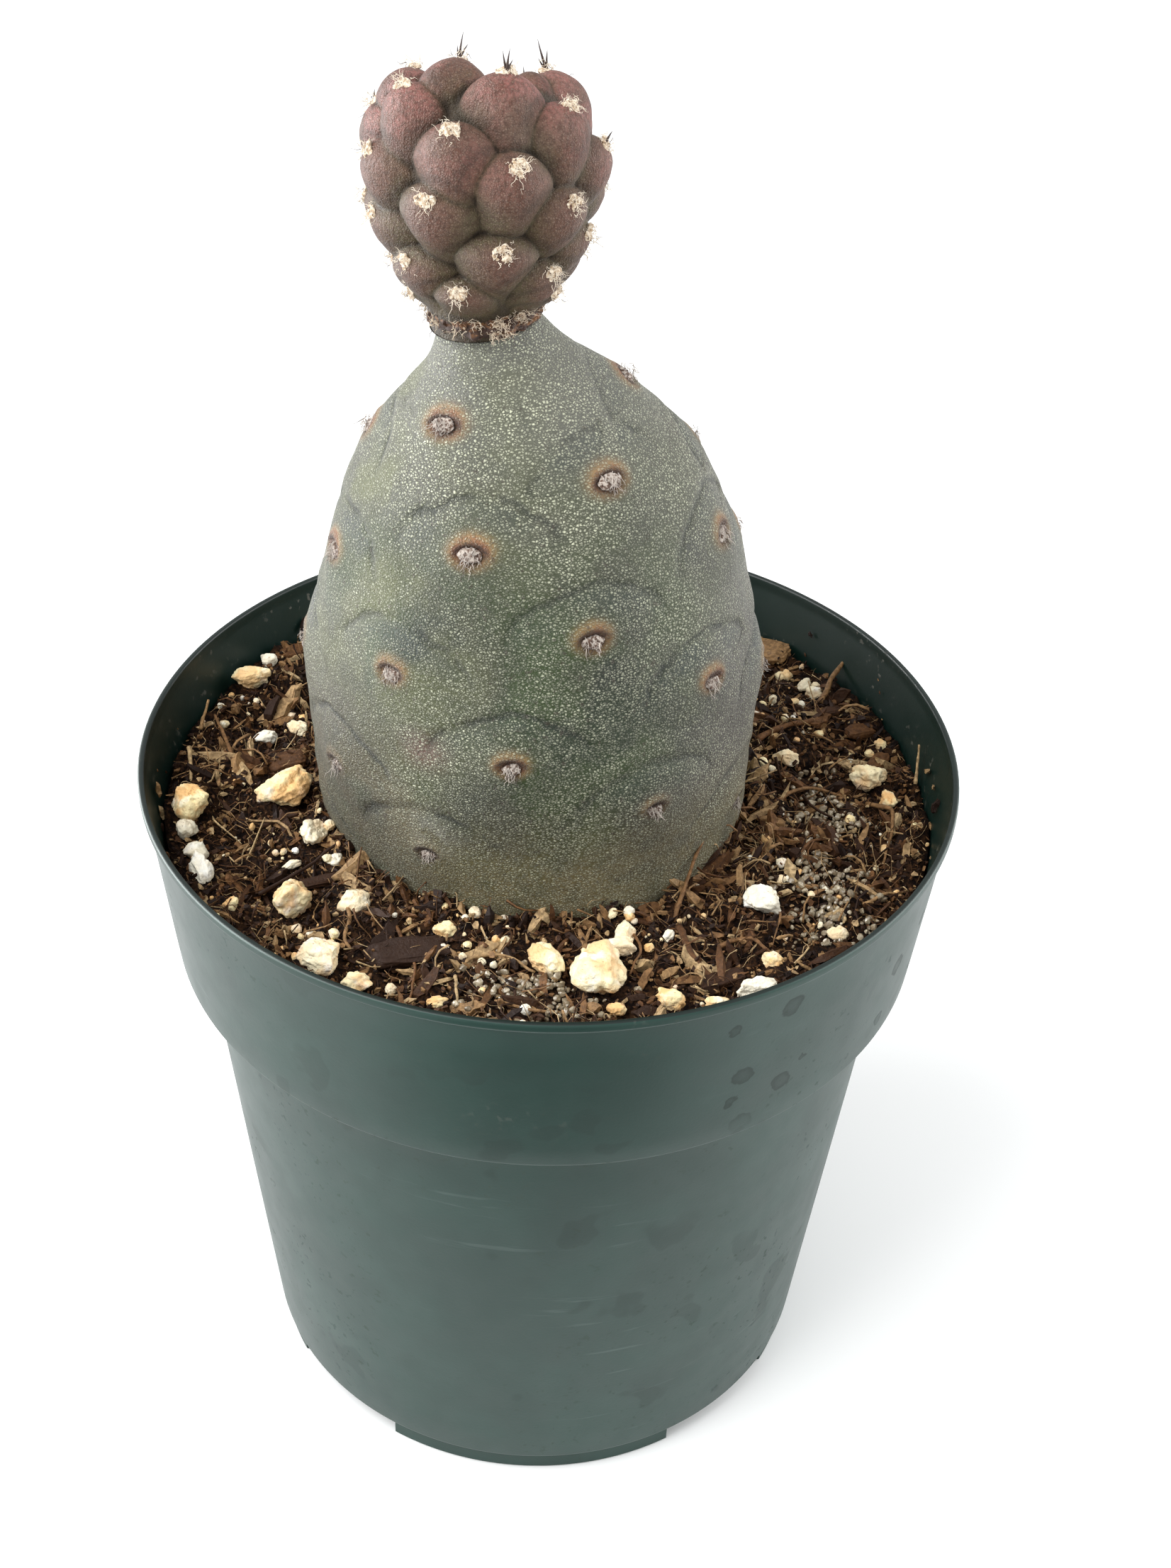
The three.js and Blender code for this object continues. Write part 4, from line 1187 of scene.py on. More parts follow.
def crooked_bar(rng, thin, bend):
    """A crooked fibre of unit length that lies flat, as points and faces."""
    sides, rows = 3, 6
    path = rng.normal(scale=bend, size=(3, 2))
    t = np.linspace(0, 1, rows)
    sway = np.outer(np.sin(math.pi * t), path[0]) + np.outer(np.sin(2 * math.pi * t) * 0.5, path[1])
    middles = np.column_stack([t - 0.5, sway * [1.0, 0.5]])
    radii = thin * (1 - 0.55 * t) * (0.7 + 0.3 * np.sin(math.pi * np.minimum(1, t * 4 + 0.2)))
    side, other = np.array([0.0, 1.0, 0.0]), np.array([0.0, 0.0, 1.0])
    return tube_points(middles, radii, side, other, sides), tube_faces(rows, sides)


def turn_about_z(points, angle):
    """Points turned about the upright axis."""
    c, s = math.cos(angle), math.sin(angle)
    return points @ np.array([[c, s, 0], [-s, c, 0], [0, 0, 1]])


def laid(body, x, y, sizes, tilt, turn, lift):
    """A body of unit size, sized, tilted, turned and laid on the mix."""
    points = body[0] * sizes
    points[:, 2] += points[:, 0] * tilt
    return turn_about_z(points, math.radians(turn)) + [x, y, soil_height(x, y) + lift], body[1]


def make_perlite():
    """The perlite lumps that stand out, each where it lies."""
    rng = np.random.default_rng(5)
    bodies = []
    for x, y, long, wide, turn, _ in PERLITE:
        large = long > LARGE_LUMP
        body = lump_mesh(rng, 4 if large else 3, 12 if large else 8)
        long, wide = long * LUMP_GROWTH[0], wide * LUMP_GROWTH[1]
        tall = min(wide, long) * rng.uniform(0.88, 1.05)
        sizes = [long / 2, wide / 2, tall / 2]
        bodies.append(laid(body, x, y, sizes, rng.uniform(-0.2, 0.2), turn, tall * 0.2))
    stains = [row[-1] for row in PERLITE]
    settle(merged("perlite_lumps", bodies, stains), perlite_finish())


def make_slabs():
    """The larger pieces of bark, each where it lies."""
    rng = np.random.default_rng(9)
    bodies = []
    for x, y, long, wide, turn, _ in BARK_SLABS:
        body = slab_mesh(rng, 4 if long > LARGE_SLAB else 3)
        thick = min(wide * 0.5, 1.8)
        bodies.append(laid(body, x, y, [long, wide, thick], rng.uniform(-0.12, 0.12), turn, thick * 0.3))
    tones = [row[-1] for row in BARK_SLABS]
    settle(merged("bark_slabs", bodies, tones), bark_finish())


def make_strands():
    """The long roots and twigs that stand out, each along its own path over the mix."""
    sides, rows = 7, 18
    bodies = []
    for path, thick, _ in STRANDS:
        corners = np.array([(x, y, soil_height(x, y) + lift) for x, y, lift in path])
        steps = np.linspace(0, len(corners) - 1, rows)
        middle = np.column_stack([np.interp(steps, range(len(corners)), corners[:, i]) for i in range(3)])
        for _ in range(3):
            middle[1:-1] = (middle[:-2] + 2 * middle[1:-1] + middle[2:]) / 4
        middle += np.column_stack([cloud(middle, 1.8, seed) for seed in (31, 32, 33)]) * 0.22
        ahead = unit(np.gradient(middle, axis=0))
        side = unit(np.cross(ahead, [0.12, 0.08, 1.0]))
        radii = thick / 2 * (1 - 0.45 * np.linspace(0, 1, rows)) * (1 + 0.3 * cloud(middle, 0.9, 34))
        # Turned round, these faces look inward, which is a fault
        bodies.append((tube_points(middle, radii, side, np.cross(ahead, side), sides),
                       tube_faces(rows, sides, turned_round=True)))
    tones = [row[-1] for row in STRANDS]
    settle(merged("long_strands", bodies, tones), bark_finish())


def random_number(seed, low=0.0, high=1.0):
    """A random number for each element."""
    return value(seed.tree, "FunctionNodeRandomValue", {2: low, 3: high, "Seed": seed}, 1, data_type="FLOAT")


def random_vector(seed):
    """A random vector for each element, from -1 to 1 each way."""
    return value(seed.tree, "FunctionNodeRandomValue", {0: (-1, -1, -1), 1: (1, 1, 1), "Seed": seed},
                 data_type="FLOAT_VECTOR")


def held(tree, name, kind="FLOAT"):
    """What each point holds under a name."""
    return value(tree, "GeometryNodeInputNamedAttribute", {"Name": name}, data_type=kind)


def holding(copies, name, given, kind="FLOAT"):
    """Copies that each hold a value under a name, made into plain geometry."""
    return value(copies.tree, "GeometryNodeStoreNamedAttribute", {
        "Geometry": copies, "Name": name, "Value": given}, data_type=kind, domain="INSTANCE")


def realized(copies):
    """Copies as plain geometry."""
    return value(copies.tree, "GeometryNodeRealizeInstances", {0: copies})


def moved(geometry, offset):
    """Geometry with its points moved."""
    return value(geometry.tree, "GeometryNodeSetPosition", {"Geometry": geometry, "Offset": offset})


def aimed(vector):
    """The rotation that turns the upright axis to a vector."""
    return value(vector.tree, "FunctionNodeAlignRotationToVector", {"Vector": vector}, axis="Z")


def coated(geometry, finish):
    """Geometry with a material."""
    return value(geometry.tree, "GeometryNodeSetMaterial", {"Geometry": geometry, "Material": finish})


def strewn_tree():
    """Pieces strewn on a ground: copies of some kinds, turned and sized at random, and sunk in a little."""
    tree, given, result = node_group("Strewn Pieces", "GeometryNodeTree", [
        ("Ground", "Geometry"), ("Where", "String", "open_ground"), ("Density", "Float", 10000.0),
        ("Kinds", "Collection"), ("Smallest", "Float", 0.001), ("Largest", "Float", 0.003),
        ("Rareness", "Float", 2.0), ("Tilt", "Float", 0.4), ("Sink", "Float", 0.1),
        ("Lightness", "Float", 1.0), ("Seed", "Int", 1), ("Finish", "Material")], [("Pieces", "Geometry")])
    seed, smallest = given["Seed"], given["Smallest"]
    spots = node(tree, "GeometryNodeDistributePointsOnFaces", {
        "Mesh": given["Ground"], "Density": given["Density"] * held(tree, given["Where"]), "Seed": seed},
        distribute_method="RANDOM")
    outward = Value(spots.outputs["Normal"])
    size = random_number(seed + 1.0) ** given["Rareness"] * (given["Largest"] - smallest) + smallest
    size = size.at_most(held(tree, "room"))
    upright = aimed(outward + random_vector(seed + 2.0) * given["Tilt"])
    spin = value(tree, "FunctionNodeAxisAngleToRotation", {
        "Axis": (0, 0, 1), "Angle": random_number(seed + 3.0, 0.0, 2 * math.pi)})
    rotation = value(tree, "FunctionNodeRotateRotation", {0: upright, 1: spin}, rotation_space="LOCAL")
    sunk = moved(Value(spots.outputs["Points"]), outward * (size * given["Sink"] * -1.0))
    kinds = value(tree, "GeometryNodeCollectionInfo", {
        "Collection": given["Kinds"], "Separate Children": True, "Reset Children": True})
    choice = value(tree, "FunctionNodeRandomValue", {4: 0, 5: 50, "Seed": seed}, 2, data_type="INT")
    copies = value(tree, "GeometryNodeInstanceOnPoints", {
        "Points": sunk, "Instance": kinds, "Pick Instance": True, "Instance Index": choice,
        "Rotation": rotation, "Scale": size})
    toned = holding(copies, "tone", random_number(seed + 4.0) ** given["Lightness"])
    connect(coated(realized(toned), given["Finish"]), result["Pieces"])
    return tree


def strew(name, ground, tree, material, bodies, per_square_cm, where, angular=True):
    """A piece of copies of some bodies, strewn on a ground that stays as it is."""
    kinds = bpy.data.collections.new(name)
    for points, faces in bodies:
        template = new_piece(name + "_kind", np.asarray(points) / MM, faces)
        if angular:
            template.data.shade_flat()
        bpy.context.scene.collection.objects.unlink(template)
        kinds.objects.link(template)
    piece = bpy.data.objects.new(name, ground.data.copy())
    bpy.context.scene.collection.objects.link(piece)
    smallest, largest, rareness, tilt, sink, lightness, seed = STREWN[name]
    run_nodes(piece, tree, Density=per_square_cm * 10000.0, Kinds=kinds, Finish=material, Where=where,
              Smallest=smallest * MM, Largest=largest * MM, Rareness=rareness, Tilt=tilt, Sink=sink,
              Lightness=lightness, Seed=seed)
    for template in list(kinds.objects):
        bpy.data.meshes.remove(template.data)
    bpy.data.collections.remove(kinds)
    settle(piece, material)


def make_litter(bed, settings):
    """Bark chips, root fibres, perlite crumbs and sand, strewn on the bed."""
    rng = np.random.default_rng(settings.seed)
    tree = strewn_tree()
    bark, perlite, sand = bark_finish(), perlite_finish(), sand_finish()
    chips = [splinter(rng, *size) for size in CHIPS]
    peat = [splinter(rng, *size, SHORT_SPLINTER) for size in PEAT]
    fibres = [crooked_bar(rng, *size) for size in FIBRES]
    crumbs = [lump_mesh(rng, 1, 4) for _ in range(8)]
    crumbs = [(points * rng.uniform(0.60, 1.1, 3), faces) for points, faces in crumbs]
    grains = [lump_mesh(rng, 1, 0) for _ in range(5)]
    grains = [(points * [1, 0.85, 0.8], faces) for points, faces in grains]
    bits = [splinter(rng, *size) for size in WALL_BITS]
    strew("bark_chips", bed, tree, bark, chips, settings.chips, "bark")
    strew("peat_crumbs", bed, tree, bark, peat, settings.peat, "bark")
    strew("root_fibres", bed, tree, bark, fibres, settings.fibres, "bark", angular=False)
    strew("perlite_crumbs", bed, tree, perlite, crumbs, settings.crumbs, "crumbs")
    strew("sand_grains", bed, tree, sand, grains, settings.grains, "sand")
    wall = wall_strip()
    strew("wall_crumbs", wall, tree, bark, bits, settings.wall_bits, "open_ground")
    bpy.data.objects.remove(wall)


def wall_strip():
    """The inside of the pot's band above the mix, as a ground whose faces look inwards."""
    columns = 120
    heights = (SOIL_TOP - 0.5, SOIL_TOP + 2.0, SOIL_TOP + 5.5)
    points = np.concatenate([level_ring(wall_inside(height), height, around(columns)) for height in heights])
    faces = [tuple(reversed(face)) for face in ring_faces(len(heights), columns, False)]
    strip = new_piece("wall_strip", points, faces)
    add_mark(strip, "open_ground", np.repeat([1.0, 0.6, 0.05], columns))
    add_mark(strip, "room", np.full(len(points), 2.2 * MM))
    return strip


# Lower segment

lower_directions = leaning_frame(*LOWER_LEAN)
lower_curve = Outline(LOWER_OUTLINE[BURIED_ROWS:])


def lower_skin_point(radius, height, angle):
    """A point of the lower segment around its bowed axis."""
    t = np.maximum(np.asarray(height, float) / LOWER_LENGTH, 0)
    bow = LOWER_BOW * 6.75 * t * t * (1 - t)
    right, back = bow + radius * np.cos(angle), radius * np.sin(angle)
    return in_frame(lower_directions, LOWER_BASE, right, back, height)


def on_lower_curve(height, angle):
    """A point of the plain lower skin at a height."""
    return lower_skin_point(np.interp(height, lower_curve.height, lower_curve.radius), height, angle)


def lower_areoles():
    """Where the areoles sit: height, point, directions and size of each."""
    spots = []
    for k in range(LOWER_AREOLES):
        turn, drop = LOWER_STRAYS.get(k, (0, 0))
        angle = math.radians(LOWER_FIRST_TURN + GOLDEN_TURN * k + turn)
        height = LOWER_FIRST_HEIGHT - LOWER_STEP * k - drop
        point = on_lower_curve(height, angle)
        upward = unit(on_lower_curve(height + 0.5, angle) - point)
        sideward = -math.sin(angle) * lower_directions[0] + math.cos(angle) * lower_directions[1]
        spots.append({
            "height": height, "point": point, "up": upward, "side": sideward,
            "out": np.cross(sideward, upward),
            "size": float(np.interp(height, (0, 30, 50), (0.85, 1.10, 1.35))),
        })
    return spots


def lower_marks(points, heights, areoles, settings):
    """The relief of the lower skin, and the halo, rim, crease and blush at each point."""
    rise = np.clip((heights - 1.5) / 6, 0, 1) * np.clip((LOWER_LENGTH - heights) / 5, None, 1)
    relief = np.zeros(len(points))
    marks = {name: np.zeros(len(points)) for name in ("halo", "rim", "fold_share")}
    marks["fold"] = np.full(len(points), 5.0)
    rng = np.random.default_rng(21)
    wobble = cloud(points, 5.0, 8) * 0.09
    for areole in areoles:
        offset = points - areole["point"]
        away = np.linalg.norm(offset, axis=1)
        relief += settings.mound / MM * bell(away, LOWER_MOUND_REACH) * np.maximum(rise, 0)
        near = away < 15
        side, up = offset[near] @ areole["side"], offset[near] @ areole["up"]
        ring = np.hypot(side / 1.35, (up + 0.1) / 1.0) / areole["size"]
        jagged = ring + 1.4 * wobble[near]
        relief[near] += 0.20 * bell(ring - 1.35, 0.35) * (0.7 + 0.3 * np.sign(up))
        relief[near] -= 0.50 * smooth(ring, 1.15, 0.6)
        upper_ring = np.hypot(side / 1.35, (up - 0.5) / 1.05) / areole["size"] + 1.4 * wobble[near]
        halo = bell(np.maximum(upper_ring - 1.0, 0), 0.52) * rng.uniform(0.75, 1.0)
        halo *= 0.22 + 0.78 * smooth(np.full(1, areole["height"]), 6, 26)
        marks["halo"][near] = np.maximum(marks["halo"][near], halo)
        rim = bell(jagged - 1.0, 0.30) * (0.3 + 0.7 * smooth(up, -0.5, 0.5))
        marks["rim"][near] = np.maximum(marks["rim"][near], np.maximum(rim, 0.85 * smooth(jagged, 1.1, 0.7)))
        fold = (np.hypot(side / 9.6, (up + 1.5) / 7.4) + wobble[near] - 1) * 7.4
        share = smooth(up, -1.0, 3.5) * rng.uniform(0.5, 1.0) * smooth(np.abs(fold), 4.6, 3.0)
        nearer = share * bell(fold, 2.5) > marks["fold_share"][near] * bell(marks["fold"][near], 2.5)
        marks["fold"][near] = np.where(nearer, fold, marks["fold"][near])
        marks["fold_share"][near] = np.where(nearer, share, marks["fold_share"][near])
    marks["fold_share"] *= (1 - np.clip(marks["halo"] * 1.4, 0, 1)) * smooth(heights, 1, 7)
    marks["fold_share"] *= 1 - 0.7 * smooth(heights, 54, 60)
    fold, share = marks["fold"], marks["fold_share"]
    depth = settings.crease / MM
    relief -= depth * share * bell(fold, 0.7)
    relief += 1.1 * depth * share * smooth(fold, -0.5, 0.9) * bell(fold, 3.4)
    relief += 0.12 * cloud(points, 7.0, 4) * rise + 0.06 * cloud(points, 2.2, 5) * rise
    for name, (height, turn, reach) in SKIN_MARKS.items():
        spot = lower_skin_point(27.0, height, math.radians(turn))
        marks[name] = bell(np.linalg.norm((points - spot) * [0.8, 1, 1], axis=1), reach)
    return relief, marks


def skin_piece(name, skin, low, high, rows, columns, marks):
    """A closed skin of rings between two poles, with marks at its points."""
    piece = new_piece(name, with_poles(low, skin, high), ring_faces(rows, columns))
    for key, values in marks.items():
        add_mark(piece, key, np.concatenate([[0], values, [0]]))
    return piece


def make_lower(settings):
    """The lower segment with its mounds, areole pits and creases."""
    rows, columns = 176, 372
    buried = np.array(LOWER_OUTLINE[1:BURIED_ROWS])
    radius, height, _, _ = lower_curve.at(np.linspace(0, lower_curve.length, rows + 1))
    radii, heights = np.concatenate([buried[:, 0], radius]), np.concatenate([buried[:, 1], height])
    angles = np.tile(around(columns), len(radii))
    radius, height = np.repeat(radii, columns), np.repeat(heights, columns)
    skin = lower_skin_point(radius, height, angles)
    relief, marks = lower_marks(skin, height, lower_areoles(), settings)
    skin = lower_skin_point(radius + relief, height, angles)
    low, high = lower_skin_point(0, LOWER_OUTLINE[0][1], 0), lower_skin_point(0, LOWER_LENGTH, 0)
    piece = skin_piece("lower_skin", skin, low, high, len(radii), columns, marks)
    settle(piece, lower_finish(settings), "lower_segment")


# Wool

def wool_tree():
    """Wool tufts: at each point a felted pad and curly fibres, along its aim and scaled by its size."""
    tree, given, result = node_group("Woolly Tufts", "GeometryNodeTree", [
        ("Points", "Geometry"), ("Fibres", "Int", 30), ("Length", "Float", 0.0012),
        ("Thickness", "Float", 0.00008), ("Lift", "Float", 0.5), ("Spread", "Float", 1.0),
        ("Rooting", "Float", 0.0008), ("Droop", "Float", 0.3), ("Curl", "Float", 0.001),
        ("Pad", "Vector", (0.001, 0.0008, 0.0004)), ("Fluff", "Float", 0.0005), ("Fineness", "Int", 4),
        ("Seed", "Int", 1), ("Finish", "Material")], [("Wool", "Geometry")])
    seed = given["Seed"]
    size, outward, beside = (held(tree, name, kind) for name, kind in (
        ("size", "FLOAT"), ("aim", "FLOAT_VECTOR"), ("side", "FLOAT_VECTOR")))
    dots = value(tree, "GeometryNodeMeshToPoints", {"Mesh": given["Points"]})
    many = value(tree, "GeometryNodeDuplicateElements", {"Geometry": dots, "Amount": given["Fibres"]},
                 domain="POINT")
    rooted = moved(many, random_vector(seed + 1.0) * (given["Rooting"] * size))
    down = value(tree, "ShaderNodeCombineXYZ", {2: given["Droop"] * -1.0})
    fan = outward * given["Lift"] + random_vector(seed + 2.0) * given["Spread"] + down
    line = value(tree, "GeometryNodeCurvePrimitiveLine", {"End": (0, 0, 1)})
    line = value(tree, "GeometryNodeResampleCurve", {"Curve": line, "Count": 7})
    strands = value(tree, "GeometryNodeInstanceOnPoints", {
        "Points": rooted, "Instance": line, "Rotation": aimed(fan),
        "Scale": given["Length"] * size * random_number(seed + 3.0, 0.35, 1.0)})
    strands = holding(strands, "tone", random_number(seed + 4.0))
    strands = realized(holding(strands, "strand", random_vector(seed + 5.0), "FLOAT_VECTOR"))
    along = value(tree, "GeometryNodeSplineParameter", output="Factor")
    here = value(tree, "GeometryNodeInputPosition")
    where = here * (1.0 / (0.55 * MM)) + held(tree, "strand", "FLOAT_VECTOR") * 40.0
    swing = ripples(where, 1.0, 1.0, output=1) - (0.5, 0.5, 0.5)
    curled = moved(strands, swing * (given["Curl"] * (along * 2.0).at_most(1.0) * size))
    ring = value(tree, "GeometryNodeCurvePrimitiveCircle", {
        "Resolution": 3, "Radius": given["Thickness"] * 0.5})
    taper = value(tree, "ShaderNodeMapRange", {0: along, 3: 1.0, 4: 0.35})
    fibres = value(tree, "GeometryNodeCurveToMesh", {
        "Curve": curled, "Profile Curve": ring, "Scale": taper, "Fill Caps": True})
    sphere = value(tree, "GeometryNodeMeshIcoSphere", {"Subdivisions": given["Fineness"]})
    facing = value(tree, "FunctionNodeAlignRotationToVector", {"Rotation": aimed(outward), "Vector": beside},
                   axis="X", pivot_axis="Z")
    pads = value(tree, "GeometryNodeInstanceOnPoints", {
        "Points": dots, "Instance": sphere, "Rotation": facing, "Scale": given["Pad"] * size})
    pads = realized(holding(pads, "felt", 1.0))
    puff = ripples(here, 1300.0, 0.0) + ripples(here, 4200.0, 1.0) * 0.7 - 0.85
    pads = moved(pads, value(tree, "GeometryNodeInputNormal") * (puff * given["Fluff"]))
    both = node(tree, "GeometryNodeJoinGeometry")
    connect(pads, both.inputs[0])
    connect(fibres, both.inputs[0])
    wool = value(tree, "GeometryNodeSetShadeSmooth", {"Geometry": Value(both.outputs[0])})
    connect(coated(wool, given["Finish"]), result["Wool"])
    return tree


def wool_piece(name, tree, spots, material, fibres):
    """A piece of wool at spots, each a point, the directions outwards and sideways, and a size."""
    points, aims, sides, sizes = zip(*spots)
    piece = new_piece(name, points, [])
    for mark, values in (("aim", aims), ("side", sides), ("size", sizes)):
        add_mark(piece, mark, values)
    *lengths, pad, lift, spread, droop, fineness, seed = WOOL[name]
    reach, thick, rooting, curl, fluff = (part * MM for part in lengths)
    run_nodes(piece, tree, Fibres=fibres, Length=reach, Thickness=thick, Rooting=rooting, Curl=curl,
              Fluff=fluff, Pad=[part * MM for part in pad], Lift=lift, Spread=spread, Droop=droop,
              Fineness=fineness, Seed=seed, Finish=material)
    settle(piece, material)


def make_areole_wool(settings):
    """The grey wool in each areole of the lower segment."""
    areoles = [areole for areole in lower_areoles() if areole["height"] > 2]
    points = np.array([areole["point"] for areole in areoles])
    heights = np.array([areole["height"] for areole in areoles])
    relief, _ = lower_marks(points, heights, lower_areoles(), settings)
    spots = []
    for areole, raised in zip(areoles, relief):
        spot = areole["point"] + areole["out"] * (raised + 0.10) - areole["up"] * 0.32 * areole["size"]
        spots.append((spot, areole["out"], areole["side"], areole["size"]))
    grey = wool_finish(
        "grey_areole_wool", (0.50, 0.44, 0.385), (0.11, 0.065, 0.045), (0.040, 0.016, 0.010), 0.2)
    wool_piece("areole_wool", wool_tree(), spots, grey, settings.wool_fibres)


# Upper segment

upper_directions = leaning_frame(*UPPER_LEAN)
upper_curve = Outline(UPPER_OUTLINE)


def upper_tubercle(angle, drop, size):
    """A tubercle in the segment's own directions."""
    radius, height, out, rise = upper_curve.at(upper_curve.length - drop - TUBERCLE_BELOW * size)
    c, s = math.cos(angle), math.sin(angle)
    return {
        "angle": angle, "drop": drop, "size": size, "centre": np.array([radius * c, radius * s, height]),
        "up": np.array([out * c, out * s, rise]), "out": np.array([rise * c, rise * s, -out]),
        "side": np.array([-s, c, 0.0]),
    }


def upper_tubercles():
    """The tubercles that bear wool, from the crown down."""
    found = []
    for k in range(TUBERCLE_COUNT):
        turn, lower = UPPER_STRAYS.get(k, (0, 0))
        drop = UPPER_FIRST_DROP + UPPER_STEP * k + lower
        size = float(np.interp(drop, TUBERCLE_DROPS, TUBERCLE_SIZES))
        found.append(upper_tubercle(math.radians(UPPER_FIRST_TURN + UPPER_TURN * k + turn), drop, size))
    return found


def crown_buds():
    """The small tubercles that are still growing in the hollow of the crown."""
    return [upper_tubercle(math.radians(UPPER_FIRST_TURN - UPPER_TURN * k), UPPER_FIRST_DROP - 0.8 * k,
                           0.62 - 0.04 * k) for k in range(1, BUD_COUNT + 1)]


def upper_skin(distance, angle, tubercles, tall):
    """Points of the upper skin in the segment's own directions, and what marks them."""
    radius, height, out, rise = upper_curve.at(distance)
    c, s = np.cos(angle), np.sin(angle)
    points = np.column_stack([radius * c, radius * s, height])
    first, second, rust, lip = (np.zeros(len(points)) for _ in range(4))
    for tubercle in tubercles:
        offset = points - tubercle["centre"]
        up = offset @ tubercle["up"] / tubercle["size"]
        beside = offset @ tubercle["side"] / tubercle["size"]
        along = np.where(up > 0, up / TUBERCLE_UP, up / TUBERCLE_DOWN)
        narrowing = 1 - 0.42 * np.clip(-along, 0, 1) - 0.12 * np.clip(along, 0, 1)
        across = beside / (TUBERCLE_HALF_WIDTH * narrowing)
        inside = 1 - across ** 2 - along ** 2
        blunt = np.clip((up / TUBERCLE_UP + 1) / 2, 0, 1)
        facing = offset @ tubercle["out"] > -6
        dome = tall * tubercle["size"] * np.maximum(inside, 0) ** (1.5 - 0.9 * blunt)
        dome = np.where((inside > 0) & facing, dome, 0)
        second = np.maximum(second, np.minimum(first, dome))
        first = np.maximum(first, dome)
        rust = np.maximum(rust, bell(beside, 1.9) * bell(up + 0.6, 2.6) * facing)
        brow = bell(np.hypot(across, along) - 1.02, 0.12) * smooth(up, -1.2, 1.0) * facing
        lip = np.maximum(lip, brow)
    first *= smooth(height, 1.0, 3.8)
    valley = bell(first - second, 0.30)
    # The crease mark places painted shadow along the upper edges and where tubercles meet
    crease = np.maximum(lip * (0.45 + 0.55 * valley), 0.6 * bell(first - second, 0.10))
    outward = np.column_stack([rise * c, rise * s, -out])
    upward = np.column_stack([out * c, out * s, rise])
    wrinkles = 0.05 * cloud(points, 1.6, 12) + 0.03 * cloud(points, 0.6, 13)
    raised = first + wrinkles - 0.18 * lip * valley
    skin = points + outward * raised[:, None] + upward * (first * TUBERCLE_LEAN)[:, None]
    marks = {"swell": first / tall, "crease": crease, "valley": valley, "rust": rust,
             "youth": smooth(height, 12, 22)}
    return skin, marks


def upper_place(points):
    """From the segment's own directions to the object's, with the crown sloped down to the back."""
    part = smooth(points[:, 2], CROWN_START, CROWN_FULL)
    height = points[:, 2] - CROWN_SLOPE * part * (points[:, 1] - CROWN_FRONT)
    return in_frame(upper_directions, UPPER_BASE, points[:, 0], points[:, 1], height)


def upper_tips(tubercles, tall):
    """The upper edge of each tubercle, where its wool and spines stand."""
    distance = np.array([upper_curve.length - tubercle["drop"] for tubercle in tubercles])
    angle = np.array([tubercle["angle"] for tubercle in tubercles])
    return upper_place(upper_skin(distance, angle, tubercles, tall)[0])


def upper_heading(tubercle, upward):
    """A direction between a tubercle's outward and upward ones."""
    return in_frame(upper_directions, np.zeros(3), *unit(tubercle["out"] + upward * tubercle["up"]))


def make_upper(settings):
    """The upper segment with its tubercles."""
    rows, columns = 190, 300
    distance = np.repeat(np.linspace(0, upper_curve.length, rows + 1)[:-1], columns)
    tubercles = upper_tubercles() + crown_buds()
    skin, marks = upper_skin(distance, np.tile(around(columns), rows), tubercles, settings.tubercle / MM)
    points = upper_place(with_poles((0, 0, UPPER_OUTLINE[0][1]), skin, (0, 0, UPPER_OUTLINE[-1][1])))
    joint = lower_skin_point(0, LOWER_LENGTH, 0)
    below = np.minimum((points - joint) @ lower_directions[2], 0)
    points -= below[:, None] * lower_directions[2]
    piece = skin_piece("upper_skin", points[1:-1], points[0], points[-1], rows, columns, marks)
    settle(piece, upper_finish(settings), "upper_segment")


def make_tufts(settings):
    """The cream wool on the tubercles, with a few long strands."""
    tubercles = upper_tubercles()
    spots = []
    for tubercle, tip in zip(tubercles, upper_tips(tubercles, settings.tubercle / MM)):
        outward = upper_heading(tubercle, 0.3)
        side = in_frame(upper_directions, np.zeros(3), *tubercle["side"])
        spots.append((tip - outward * 0.12, outward, side, 0.5 + 0.5 * tubercle["size"]))
    tree = wool_tree()
    cream = wool_finish(
        "cream_tuft_wool", (0.80, 0.70, 0.56), (0.42, 0.30, 0.19), (0.070, 0.030, 0.015), 0.12)
    wool_piece("tuft_wool", tree, spots, cream, settings.wool_fibres)
    wool_piece("tuft_strands", tree, spots[::2], cream, 4)


def make_spines(settings):
    """The dark spines at the crown."""
    tubercles = upper_tubercles()
    tips = upper_tips(tubercles, settings.tubercle / MM)
    sides, rows = 8, 9
    t = np.linspace(0, 1, rows)
    radii = settings.spine_radius / MM * (1 - t) ** 0.8 + 0.012
    bodies = []
    for number, long, lean in SPINES:
        heading = upper_heading(tubercles[number], 1.4) * 0.4 + np.array([0, 0, 0.6])
        heading = np.array(Matrix.Rotation(math.radians(lean), 3, "Y") @ Vector(heading).normalized())
        side = unit(np.cross(heading, [0.3, 1.0, 0.2]))
        reach = (long + SPINE_ROOT) * t - SPINE_ROOT
        middles = tips[number] + np.outer(reach, heading) + np.outer(0.10 * np.sin(2.6 * t), side)
        points = tube_points(middles, radii, side, np.cross(heading, side), sides)
        bodies.append((points, tube_faces(rows, sides)))
    piece = new_piece("crown_spines", *joined(bodies))
    add_mark(piece, "along", np.tile(np.repeat(t, sides), len(SPINES)))
    settle(piece, spine_finish())


